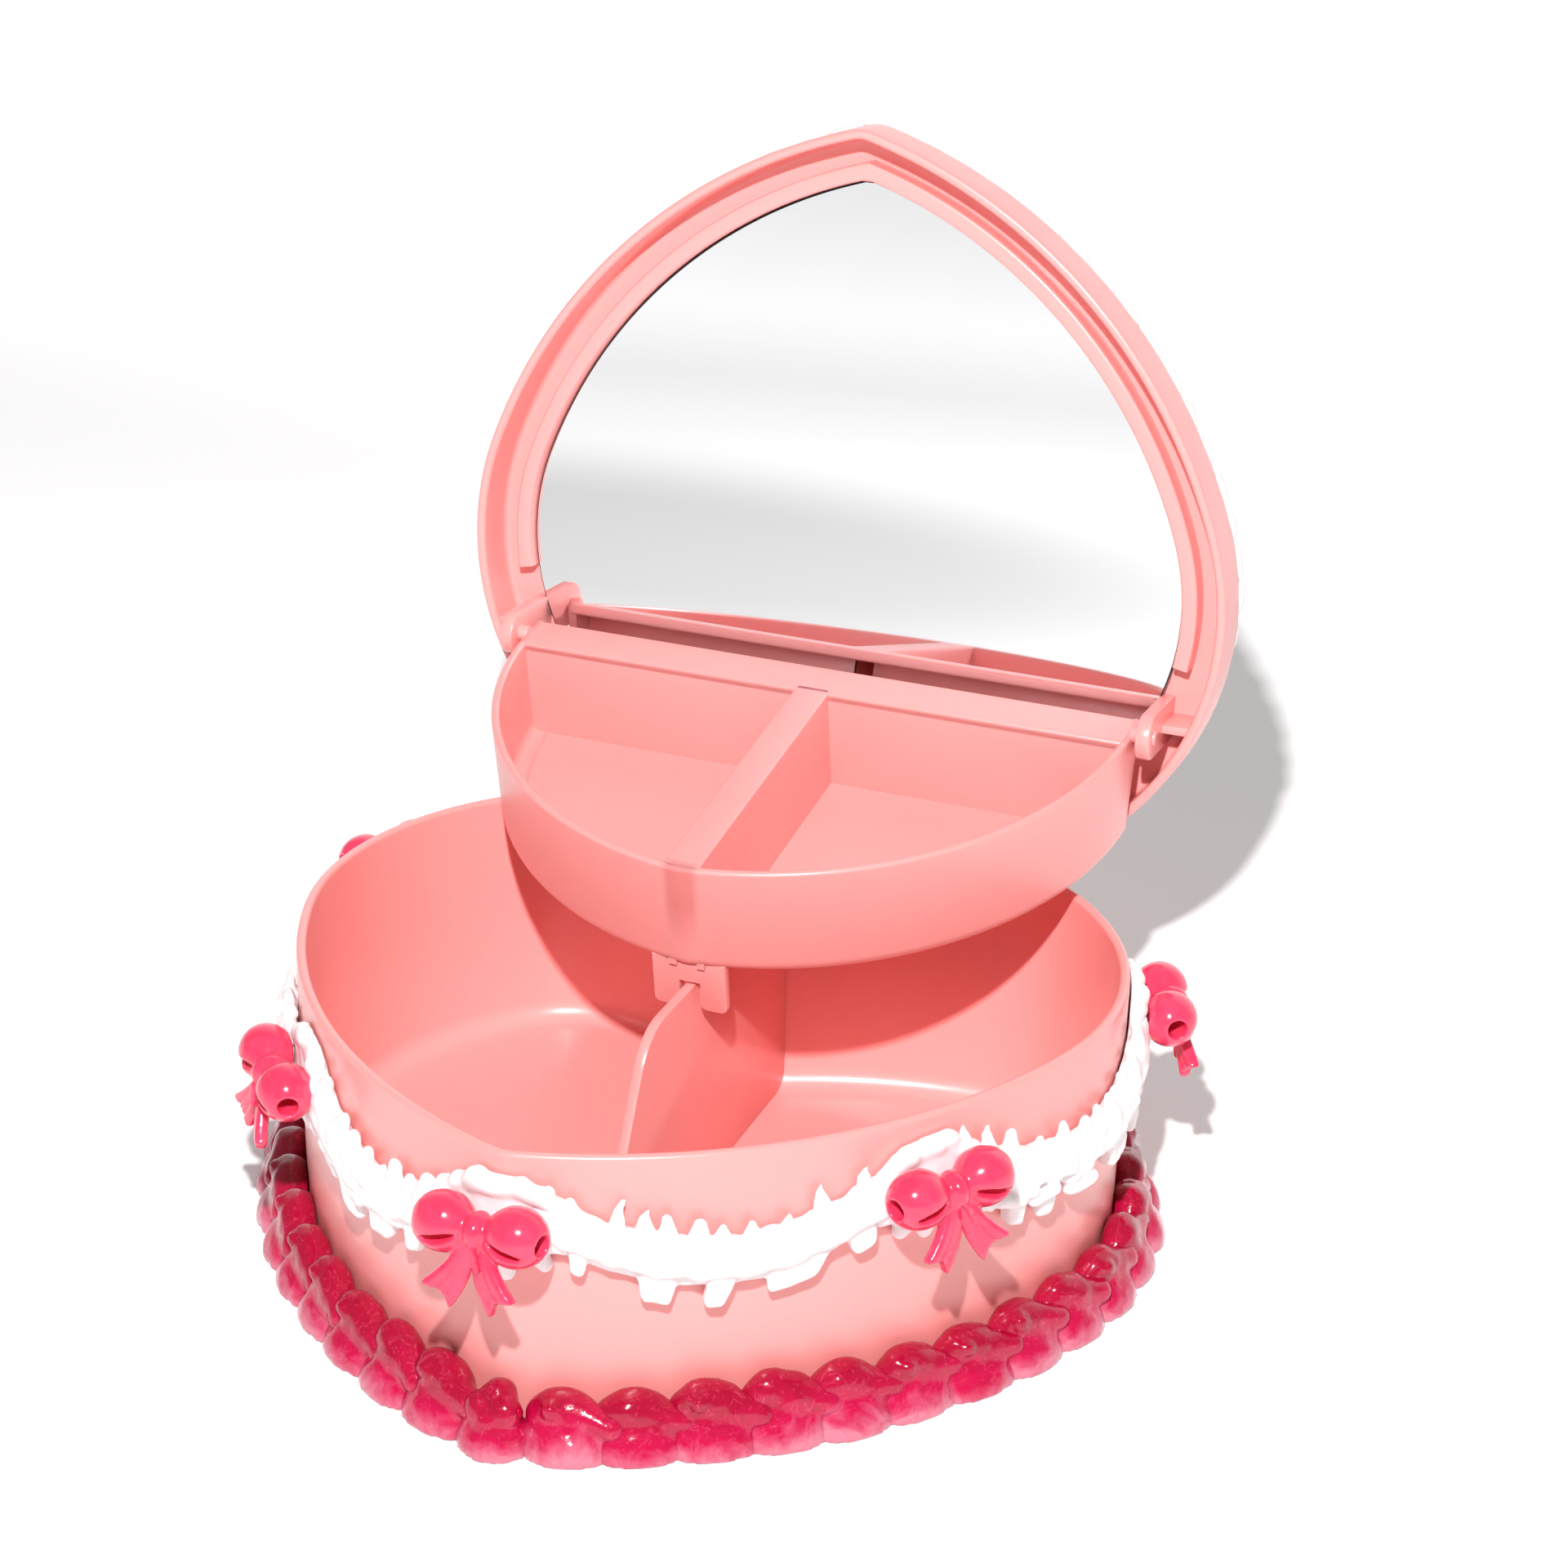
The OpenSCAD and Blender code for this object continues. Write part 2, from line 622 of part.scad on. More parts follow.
module bow(p) {
    out = dab_t + glue_gap + bow_loop_r * 0.8;
    color(bow_pink) on_wall(p) translate([0, out, bow_z]) {
        difference() {
            union() {
                both_sides() rotate([0, 90 - 11, 0])
                    rotate_extrude() polygon([for (q = bulb_outline) [q.y, q.x] * bow_loop_r]);
                rotate([90, 0, 0]) cylinder(r = bow_loop_r * 0.46, h = bow_loop_r * 1.4, center = true);
            }
            translate([-big / 2, -big - bow_loop_r * 0.8, -big / 2]) cube(big);
        }
        bow_tail(1);
        bow_tail(-1);
    }
}

// Cream edging round the lid's outer edge, piped in small shells. It draws in near the hinge.
module lid_edging() {
    per_shell = 3;
    n = 54 * per_shell;
    z1 = lid_top_z;
    lengths = [for (i = [0 : n - 1]) 2 * half_len * i / n];
    sections = [for (i = [0 : n - 1])
        let (k = [0.75, 1, 0.9][i % per_shell], w = edging_t * k, g = glue_gap,
             from_hinge = hinge_y - path_at(lengths[i])[0].y,
             reach = w * 0.6 * max(0.15, min(1, (from_hinge - 40) / 14)))
        [[-w * 1.3, z1 + g], [g, z1 + g], [g, z1 - edging_lap * k],
         [g + reach * 0.8, z1 - edging_lap * k * 0.7], [g + reach, z1 + w * 0.2],
         [g + reach * 0.3, z1 + w * 0.75], [-w * 0.6, z1 + w * 0.8]]];
    color(cream) on_open_lid() strip(lengths, sections, true);
}

base_body();
lid_shell();
mirror_glass();  // mirror
mirror_tape();
tray();
hinge_pin(-1);  // hinge_pin_left
hinge_pin(1);  // hinge_pin_right
base_border();
lid_edging();
swag(-1);  // cream_swag_front_left
swag(0);  // cream_swag_front_right
swag(-2);  // cream_swag_side_left
swag(1);  // cream_swag_side_right
swag(-3);  // cream_swag_back_left
swag(2);  // cream_swag_back_right
dab(0);  // cream_dab_tip
dab(-1);  // cream_dab_front_left
dab(1);  // cream_dab_front_right
dab(-2);  // cream_dab_rear_left
dab(2);  // cream_dab_rear_right
dab(3);  // cream_dab_back
bow(0);  // bow_tip
bow(-1);  // bow_front_left
bow(1);  // bow_front_right
bow(-2);  // bow_rear_left
bow(2);  // bow_rear_right
bow(3);  // bow_back
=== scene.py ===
"""Looks of the heart-shaped jewellery box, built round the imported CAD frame."""

import math

import bmesh
import bpy
import numpy as np
from mathutils import Matrix, Vector


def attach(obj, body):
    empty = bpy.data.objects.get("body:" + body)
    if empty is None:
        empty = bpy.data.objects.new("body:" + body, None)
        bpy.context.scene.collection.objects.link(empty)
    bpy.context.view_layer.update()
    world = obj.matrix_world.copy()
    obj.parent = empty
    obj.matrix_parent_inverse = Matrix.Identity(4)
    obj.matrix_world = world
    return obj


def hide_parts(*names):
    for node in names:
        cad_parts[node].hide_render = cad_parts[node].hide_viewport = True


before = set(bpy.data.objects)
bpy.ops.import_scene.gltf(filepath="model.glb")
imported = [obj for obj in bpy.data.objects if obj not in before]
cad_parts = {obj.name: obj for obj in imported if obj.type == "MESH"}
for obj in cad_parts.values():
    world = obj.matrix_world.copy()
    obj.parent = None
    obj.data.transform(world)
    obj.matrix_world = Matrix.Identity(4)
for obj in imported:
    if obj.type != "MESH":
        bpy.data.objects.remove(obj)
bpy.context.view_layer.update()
MM = 0.001
TINY = 1e-6

# ---- sizes, in millimetres, the same as the CAD's ------------------------------------------------
# a heart: shoulder's place and radius, tip's place and radius, side, lobe and crown radii
HEART = dict(sx=21.0, sr=51.5, ty=76.0, tr=4.7, br=101.3, lr=23.0, cr=105.0)
WALL = 1.8
BOWL_H = 51.0
FLOOR = 2.0
# hinge line, and how far the lid stands open, in degrees
HINGE_Y, HINGE_Z, LID_OPEN = 49.832, 48.2, 95.0
KNUCKLE_X, KNUCKLE_STEP, KNUCKLE_R = 39.32, 5.3, 2.5
# lid, in its closed place
LID_Z, LID_DEPTH = 51.2, 13.0
MIRROR_DROP, MIRROR_T, TAPE_T = 7.2, 1.8, 0.3
MIRROR_INSET, MIRROR_FOOT = 7.5, 24.0
FRAME_W, FRAME_RISE, FRAME_FOOT = 3.0, 2.4, 41.0
LUG_X, LUG_R, RIB_X = (61.9, 64.5), 4.2, (62.5, 69.9)
# tray, with its pivot at the origin, and the pivot's (y, z) in the closed lid and in the open box
PIVOT_LOCAL = (HINGE_Y - 31.1, LID_Z - 4.5)
PIVOT_OPEN = (51.048, 79.312)
TRAY_TILT = 8.75
TRAY = dict(sx=18.7, sr=42.0, ty=60.5, tr=8.0, br=67.7)
TRAY_BACK, TRAY_DEPTH, TRAY_H, TRAY_RIM = 4.9, 71.7, 21.0, 0.3
TRAY_BULGE, TRAY_DRAFT = 3.2, 0.35
TRAY_WALL, TRAY_FLOOR = 1.6, 1.6
FLANGE_W, FLANGE_T = 9.0, 2.0
SLOT = 1.9
BOW_Z, BOW_OUT = 41.5, 7.05
# degrees that one step of an outline turns at most, and the sides of a round rod
WIDEST_TURN, ROD_SIDES = 6, 40
PINK = (0.87, 0.33, 0.315)


# ---- outlines ------------------------------------------------------------------------------------
def side_centre(sx, sr, ty, tr, br):
    """Centre of the side arc, which holds the shoulder's and the tip's circles and touches both."""
    d1, d2, length = br - sr, br - tr, math.hypot(sx, ty)
    turn = math.acos((d1 * d1 + length * length - d2 * d2) / (2 * d1 * length))
    base = math.atan2(-ty, -sx)
    return np.array([sx + d1 * math.cos(base - turn), d1 * math.sin(base - turn)])


def angle_to(a, b):
    return math.degrees(math.atan2(b[1] - a[1], b[0] - a[0]))


def front_arcs(sx, sr, ty, tr, br, last):
    """Tip, side and shoulder arcs of the right half: (centre, radius, start, end, sign)."""
    c = side_centre(sx, sr, ty, tr, br)
    low, high = angle_to(c, (0, -ty)), angle_to(c, (sx, 0))
    return [((0, -ty), tr, -90, low, 1), (tuple(c), br, low, high, 1), ((sx, 0), sr, high, last, 1)]


def heart_arcs(nose=4.0):
    """Right half of the heart: tip, side, shoulder, lobe and crown arcs, and the notch behind."""
    h = HEART
    a = math.radians(50)
    lc = np.array([h["sx"] + (h["sr"] - h["lr"]) * math.cos(a), (h["sr"] - h["lr"]) * math.sin(a)])
    b = math.radians(95)
    cc = lc - (h["cr"] - h["lr"]) * np.array([math.cos(b), math.sin(b)])
    ny = cc[1] + math.sqrt((h["cr"] + nose) ** 2 - cc[0] ** 2)
    meet = angle_to(cc, (0, ny))
    return front_arcs(h["sx"], h["sr"], h["ty"], h["tr"], h["br"], 50) + [
        (tuple(lc), h["lr"], 50, 95, 1),
        (tuple(cc), h["cr"], 95, meet, 1),
        ((0, ny), nose, meet - 180, -90, -1),
    ]


def half_path(arcs, step):
    """Samples of the right half: points on the line, and their outward normals."""
    pts, nrm = [], []
    for k, (c, r, a0, a1, sign) in enumerate(arcs):
        by_length = math.ceil(abs(a1 - a0) * math.pi / 180 * r / step)
        n = max(2, by_length, int(abs(a1 - a0) / WIDEST_TURN) + 1)
        last = k == len(arcs) - 1
        for i in range(n + 1 if last else n):
            a = math.radians(a0 + (a1 - a0) * i / n)
            d = np.array([math.cos(a), math.sin(a)])
            pts.append(np.array(c) + r * d)
            nrm.append(sign * d)
    return np.array(pts), np.array(nrm)


def full_path(arcs, step):
    """Closed outline, counter-clockwise from the tip. The points on the middle line aren't doubled."""
    p, n = half_path(arcs, step)
    q, m = p[::-1] * [-1, 1], n[::-1] * [-1, 1]
    return np.vstack([p, q[1:-1]]), np.vstack([n, m[1:-1]])


def open_path(arcs, step):
    """The outline from the left end round the tip to the right end."""
    p, n = half_path(arcs, step)
    return np.vstack([p[::-1] * [-1, 1], p[1:]]), np.vstack([n[::-1] * [-1, 1], n[1:]])


def offset_path(p, n, out):
    """The outline moved out by that much. Points that cross the middle line stop on it."""
    q = p + n * out
    crossed = (np.sign(q[:, 0]) != np.sign(p[:, 0])) & (np.abs(p[:, 0]) > TINY)
    q[crossed, 0] = 0
    if out < -HEART["tr"]:
        ahead = q[:, 1] < -40
        on_middle = ahead & (np.abs(q[:, 0]) < TINY)
        beside = q[ahead & ~on_middle]
        if on_middle.any() and len(beside):
            q[on_middle, 1] = beside[np.argmin(np.abs(beside[:, 0])), 1]
    return q


heart_p, heart_n = full_path(heart_arcs(), 2.0)


# ---- meshes --------------------------------------------------------------------------------------
def make_object(name, verts, faces, mats, body, smooth=40, mat_ids=None, weld=0.0):
    """A finished mesh in metres at the origin, that rides on its body."""
    mesh = bpy.data.meshes.new(name)
    mesh.from_pydata([tuple(v) for v in np.asarray(verts) * MM], [], [tuple(f) for f in faces])
    for m in mats:
        mesh.materials.append(m)
    if mat_ids is not None:
        mesh.polygons.foreach_set("material_index", np.asarray(mat_ids, np.int32))
    bm = bmesh.new()
    bm.from_mesh(mesh)
    if weld:
        bmesh.ops.remove_doubles(bm, verts=bm.verts, dist=weld * MM)
        bmesh.ops.dissolve_degenerate(bm, edges=bm.edges, dist=1e-7)
    bmesh.ops.recalc_face_normals(bm, faces=bm.faces)
    bm.to_mesh(mesh)
    bm.free()
    mesh.polygons.foreach_set("use_smooth", [True] * len(mesh.polygons))
    mesh.set_sharp_from_angle(angle=math.radians(smooth))
    obj = bpy.data.objects.new(name, mesh)
    bpy.context.scene.collection.objects.link(obj)
    if body:
        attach(obj, body)
    return obj


class Parts:
    """Collects closed pieces of one object."""

    def __init__(self):
        self.v, self.f = [], []

    def add(self, verts, faces):
        base = len(self.v)
        self.v.extend([tuple(map(float, p)) for p in verts])
        self.f.extend([tuple(int(i) + base for i in f) for f in faces])

    def place(self, matrix):
        r = np.array(matrix.to_3x3())
        self.v = [tuple(q) for q in np.array(self.v) @ r.T + np.array(matrix.translation)]


def rounded(points, steps=5):
    """A chain of (u, z, radius) corners as a polyline with round corners."""
    out = []
    n = len(points)
    for i, (x, y, r) in enumerate(points):
        p = np.array([x, y], float)
        if r <= 0:
            out.append(p)
            continue
        a, b = np.array(points[i - 1][:2], float), np.array(points[(i + 1) % n][:2], float)
        da, db = (a - p) / np.linalg.norm(a - p), (b - p) / np.linalg.norm(b - p)
        half = math.acos(max(-1, min(1, float(da @ db)))) / 2
        cut = r / math.tan(half)
        centre = p + (da + db) / np.linalg.norm(da + db) * r / math.sin(half)
        s, e = p + da * cut - centre, p + db * cut - centre
        for k in range(steps + 1):
            t = k / steps
            w = math.sin((1 - t) * (math.pi - 2 * half)) * s + math.sin(t * (math.pi - 2 * half)) * e
            out.append(centre + w / math.sin(math.pi - 2 * half))
    return np.array(out)


def strips(rows, k):
    """Quads between rows of k points each, closed round every row."""
    return [
        (j * k + i, j * k + (i + 1) % k, (j + 1) * k + (i + 1) % k, (j + 1) * k + i)
        for j in range(rows - 1)
        for i in range(k)
    ]


def on_side(s, span):
    """A span of x on the right, or its mirror image on the left, low end first."""
    return sorted((s * span[0], s * span[1]))


def sweep_closed(parts, profile):
    """Carries an open profile of (out, z) round the heart and caps its two ends with flat faces."""
    k = len(heart_p)
    rows = [np.column_stack([offset_path(heart_p, heart_n, u), np.full(k, z)]) for u, z in profile]
    top = (len(rows) - 1) * k
    caps = [tuple(range(k))[::-1], tuple(top + i for i in range(k))]
    parts.add(np.vstack(rows), strips(len(rows), k) + caps)


def round_box(parts, lo, hi, r=0.3, segments=2):
    """A box with rounded edges."""
    bm = bmesh.new()
    bmesh.ops.create_cube(bm, size=1)
    lo, hi = np.array(lo, float), np.array(hi, float)
    for v in bm.verts:
        v.co = Vector((lo + hi) / 2 + np.array(v.co) * (hi - lo))
    r = min(r, 0.49 * float((hi - lo).min()))
    bmesh.ops.bevel(bm, geom=bm.edges[:], offset=r, segments=segments, profile=0.5, affect="EDGES")
    take(parts, bm)


def take(parts, bm):
    bm.verts.index_update()
    parts.add([tuple(v.co) for v in bm.verts], [[v.index for v in f.verts] for f in bm.faces])
    bm.free()


def plate(parts, axis, outline, start, end, r):
    """A flat piece with that outline across an axis, from start to end, with rounded edges."""
    bm = bmesh.new()
    bm.faces.new([bm.verts.new(Vector(np.insert(np.array(q, float), axis, start))) for q in outline])
    got = bmesh.ops.extrude_face_region(bm, geom=bm.faces[:])
    for v in got["geom"]:
        if isinstance(v, bmesh.types.BMVert):
            v.co[axis] = end
    bmesh.ops.recalc_face_normals(bm, faces=bm.faces)
    rim = [e for e in bm.edges if abs(e.verts[0].co[axis] - e.verts[1].co[axis]) < TINY]
    bmesh.ops.bevel(bm, geom=rim, offset=r, segments=2, profile=0.5, affect="EDGES")
    take(parts, bm)


def rod_x(parts, centre, radius, x0, x1, r=0.2):
    """A round rod along X about (y, z), with rounded ends."""
    turns = [2 * math.pi * i / ROD_SIDES for i in range(ROD_SIDES)]
    circle = [(centre[0] + radius * math.cos(a), centre[1] + radius * math.sin(a)) for a in turns]
    plate(parts, 0, circle, x0, x1, r)


def prism_y(parts, outline, y0, y1):
    """A section in the XZ plane carried from y0 to y1."""
    k = len(outline)
    verts = [(x, y0, z) for x, z in outline] + [(x, y1, z) for x, z in outline]
    faces = [tuple(range(k)), tuple(k + i for i in range(k))[::-1]]
    faces += [(i, k + i, k + (i + 1) % k, (i + 1) % k) for i in range(k)]
    parts.add(verts, faces)


def lid_matrix():
    """From the closed lid's place to the open one."""
    c = Matrix.Translation((0, HINGE_Y, HINGE_Z))
    return c @ Matrix.Rotation(math.radians(-LID_OPEN), 4, "X") @ c.inverted()


def tray_matrix():
    """From the tray's own place to the open box."""
    return Matrix.Translation((0, *PIVOT_OPEN)) @ Matrix.Rotation(math.radians(TRAY_TILT), 4, "X")


# ---- materials -----------------------------------------------------------------------------------
def new_material(name, color, rough, **sockets):
    """A material whose even values sit on the shader's own sockets."""
    m = bpy.data.materials.new(name)
    m.use_nodes = True
    b = m.node_tree.nodes["Principled BSDF"]
    b.inputs["Base Color"].default_value = (*color, 1)
    b.inputs["Roughness"].default_value = rough
    for k, v in sockets.items():
        b.inputs[k.replace("_", " ")].default_value = v
    return m


def shader_of(m):
    return m.node_tree, m.node_tree.nodes["Principled BSDF"]


def feed(t, socket, value):
    """Links another node's socket to an input, or sets the input's value."""
    if isinstance(value, bpy.types.NodeSocket):
        t.links.new(value, socket)
    else:
        socket.default_value = value


def position(t):
    """The point's place in the shared frame, in metres, by axis."""
    n = t.nodes.new("ShaderNodeSeparateXYZ")
    t.links.new(t.nodes.new("ShaderNodeTexCoord").outputs["Object"], n.inputs[0])
    return n.outputs


def noise(t, scale, detail=2.0, rough=0.5, distortion=0.0):
    """Clouds that sit still on the piece."""
    n = t.nodes.new("ShaderNodeTexNoise")
    n.inputs["Scale"].default_value = scale
    n.inputs["Detail"].default_value = detail
    n.inputs["Roughness"].default_value = rough
    n.inputs["Distortion"].default_value = distortion
    t.links.new(t.nodes.new("ShaderNodeTexCoord").outputs["Object"], n.inputs["Vector"])
    return n.outputs["Fac"]


def bump(t, height, strength, distance):
    n = t.nodes.new("ShaderNodeBump")
    n.inputs["Strength"].default_value = strength
    n.inputs["Distance"].default_value = distance
    t.links.new(height, n.inputs["Height"])
    return n.outputs["Normal"]


def ramp(t, fac, stops):
    n = t.nodes.new("ShaderNodeValToRGB")
    e = n.color_ramp.elements
    while len(e) < len(stops):
        e.new(0.5)
    for k, (pos, col) in enumerate(stops):
        e[k].position = pos
        e[k].color = (*col, 1)
    t.links.new(fac, n.inputs["Fac"])
    return n.outputs["Color"]


def number(t, op, a, b=0, clamp=False):
    n = t.nodes.new("ShaderNodeMath")
    n.operation, n.use_clamp = op, clamp
    feed(t, n.inputs[0], a)
    feed(t, n.inputs[1], b)
    return n.outputs[0]


def mix_colors(t, fac, first, second):
    n = t.nodes.new("ShaderNodeMix")
    n.data_type = "RGBA"
    for k, value in ((0, fac), (6, first), (7, second)):
        feed(t, n.inputs[k], value)
    return n.outputs[2]


def map_range(t, value, near, far, start, end, kind):
    """Goes from start to end while the value goes from near to far."""
    n = t.nodes.new("ShaderNodeMapRange")
    n.interpolation_type = kind
    t.links.new(value, n.inputs[0])
    for k, v in enumerate((near, far, start, end)):
        n.inputs[k + 1].default_value = v
    return n.outputs[0]


def plastic(name, color):
    """Moulded plastic, a little waxy, with faint unevenness in its gloss."""
    m = new_material(
        name, color, 0.34, IOR=1.5, Coat_Weight=0.35, Coat_Roughness=0.22,
        Subsurface_Weight=0.2, Subsurface_Radius=(1.0, 0.35, 0.3), Subsurface_Scale=0.003,
    )
    t, b = shader_of(m)
    t.links.new(bump(t, noise(t, 260, 3, 0.55), 0.08, 0.0002), b.inputs["Normal"])
    gloss = ramp(t, noise(t, 60, 3), [(0.3, (0.3,) * 3), (0.7, (0.4,) * 3)])
    t.links.new(gloss, b.inputs["Roughness"])
    return m


def border_resin():
    """Tinted resin: dark and full in the crown, thin and pale in the foot, with cloudy streaks."""
    m = new_material(
        "border_resin", (0.6, 0.01, 0.06), 0.16, IOR=1.42, Coat_Weight=0.25, Coat_Roughness=0.08,
        Subsurface_Weight=0.2, Subsurface_Radius=(1.0, 0.25, 0.35), Subsurface_Scale=0.0015,
    )
    t, b = shader_of(m)
    tone = t.nodes.new("ShaderNodeAttribute")
    tone.attribute_name = "tone"
    height_cm = number(t, "MULTIPLY", position(t)["Z"], 100.0)
    clouds = number(t, "MULTIPLY", number(t, "SUBTRACT", noise(t, 170, 4, 0.6, 1.2), 0.5), 0.9)
    own_tone = number(t, "MULTIPLY", number(t, "SUBTRACT", tone.outputs["Fac"], 0.5), 0.22)
    lift = number(t, "ADD", number(t, "ADD", height_cm, clouds), own_tone)
    foot, flare = (0.60, 0.17, 0.24), (0.52, 0.055, 0.125)
    crown, top = (0.48, 0.003, 0.055), (0.33, 0.001, 0.026)
    body = ramp(t, lift, [(0.03, foot), (0.24, flare), (0.42, crown), (0.9, top)])
    streaks = ramp(t, noise(t, 420, 5, 0.7, 2.5), [(0.56, (0, 0, 0)), (0.66, (1, 1, 1))])
    color = mix_colors(t, number(t, "MULTIPLY", streaks, 0.5), body, (0.62, 0.06, 0.14, 1))
    t.links.new(color, b.inputs["Base Color"])
    t.links.new(bump(t, noise(t, 700, 3, 0.6), 0.25, 0.0004), b.inputs["Normal"])
    return m


def cream():
    """Stiff piped cream, near white and waxy."""
    m = new_material(
        "cream", (0.88, 0.82, 0.825), 0.42,
        Subsurface_Weight=0.3, Subsurface_Radius=(1.0, 0.75, 0.72), Subsurface_Scale=0.0015,
    )
    t, b = shader_of(m)
    gloss = ramp(t, noise(t, 90, 3), [(0.3, (0.36,) * 3), (0.7, (0.5,) * 3)])
    t.links.new(gloss, b.inputs["Roughness"])
    t.links.new(bump(t, noise(t, 600, 3, 0.6), 0.12, 0.0003), b.inputs["Normal"])
    return m


def bow_resin():
    """Glossy tinted resin with faint clouds."""
    m = new_material(
        "bow_resin", (0.78, 0.045, 0.115), 0.16, Coat_Weight=0.4, Coat_Roughness=0.05,
        Subsurface_Weight=0.3, Subsurface_Radius=(1.0, 0.2, 0.25), Subsurface_Scale=0.0015,
    )
    t, b = shader_of(m)
    deep, bright = (0.72, 0.035, 0.10), (0.82, 0.055, 0.13)
    t.links.new(ramp(t, noise(t, 240, 4, 0.6, 0.8), [(0.35, deep), (0.65, bright)]), b.inputs["Base Color"])
    return m


def painted_front_shade(m):
    """Painted shade: a darker stripe on the tray's front, where the hollow divider stands behind the wall.
    """
    t, b = shader_of(m)
    half_width, front, fade = 0.0035, -0.0122, 700
    at = position(t)
    beside = number(t, "SUBTRACT", half_width, number(t, "ABSOLUTE", at["X"]))
    ahead = number(t, "SUBTRACT", front, at["Y"])
    beside, ahead = (number(t, "MULTIPLY", v, fade, True) for v in (beside, ahead))
    # painted shade: over the divider the front's colour darkens to this
    front_shade = mix_colors(t, number(t, "MULTIPLY", beside, ahead), (*PINK, 1), (0.70, 0.225, 0.215, 1))
    t.links.new(front_shade, b.inputs["Base Color"])


mat_bowl = plastic("bowl_plastic", PINK)
mat_lid = plastic("lid_plastic", PINK)
mat_tray = plastic("tray_plastic", PINK)
# the tray's front gets a painted shade stripe over the divider
painted_front_shade(mat_tray)
mat_mirror = new_material("mirror_silver", (0.9, 0.91, 0.92), 0.03, Metallic=1.0)
mat_mirror_edge = new_material("mirror_cut_edge", (0.02, 0.03, 0.03), 0.3)
mat_tape = new_material("foam_tape", (0.9, 0.9, 0.88), 0.8)
mat_steel = new_material("pin_steel", (0.6, 0.6, 0.62), 0.3, Metallic=1.0)
mat_cream = cream()
mat_bow = bow_resin()
mat_border = border_resin()


# ---- mouldings and mirror ------------------------------------------------------------------------
def build_bowl():
    """The bowl with its partition and its two hinge knuckles."""
    parts = Parts()
    inside = [(-6, FLOOR, 0), (0, FLOOR, 4.0), (0, BOWL_H, 0.8)]
    outside = [(WALL, BOWL_H, 0.8), (WALL, 0, 0.5), (-4, 0, 0)]
    sweep_closed(parts, rounded(inside + outside, 7))
    # partition: high at the back, then one bend down to a low ledge at the front
    bend, slope, corner_y, front_y, foot_z = 11, 63, -28.6, -80.9, 1.0
    high, ledge = BOWL_H - 6.2, 21.0
    bend_y = corner_y + bend * math.tan(math.radians(slope / 2))
    ledge_y = corner_y - (high - ledge) / math.tan(math.radians(slope))
    (_, nose_y), nose_r = heart_arcs()[5][:2]
    back_y = nose_y - nose_r + 0.9
    side = [(back_y, foot_z), (back_y, high)]
    for i in range(13):
        a = math.radians(slope * i / 12)
        side.append((bend_y - bend * math.sin(a), high - bend * (1 - math.cos(a))))
    side += [(ledge_y, ledge), (front_y, ledge), (front_y, foot_z)]
    plate(parts, 0, side, -1, 1, 0.45)
    half, web_y, web_z, web_top = 3, 45.8, 45.7, 50.6
    for s in (-1, 1):
        x0, x1 = s * KNUCKLE_X - half, s * KNUCKLE_X + half
        rod_x(parts, (HINGE_Y, HINGE_Z), KNUCKLE_R, x0, x1)
        round_box(parts, (x0, web_y, web_z), (x1, HINGE_Y, web_top), 0.3)
    obj = make_object("bowl", parts.v, parts.f, [mat_bowl], "bowl")
    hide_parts("base_body")


def mirror_frame(parts, floor_z):
    """The raised frame round the mirror, open along the mirror's straight foot."""
    low = LID_Z + MIRROR_DROP - FRAME_RISE
    depth = floor_z + 0.5 - low
    section = rounded([(0, 0, 0.5), (FRAME_W, 0, 0.5), (FRAME_W, depth, 0), (0, depth, 0)], 3)
    outer = offset_path(heart_p, heart_n, FRAME_W - MIRROR_INSET)
    inner = offset_path(heart_p, heart_n, -MIRROR_INSET)
    k = len(heart_p)
    order = [i for i in range(k) if outer[i, 1] < HINGE_Y - FRAME_FOOT]
    order.sort(key=lambda i: i - k if heart_p[i, 0] < -TINY else i)
    verts = []
    for i in order:
        for u, z in section:
            x, y = inner[i] + (outer[i] - inner[i]) * (u / FRAME_W)
            verts.append((x, y, low + z))
    m = len(section)
    ends = [tuple(range(m)), tuple((len(order) - 1) * m + i for i in range(m))[::-1]]
    parts.add(verts, strips(len(order), m) + ends)


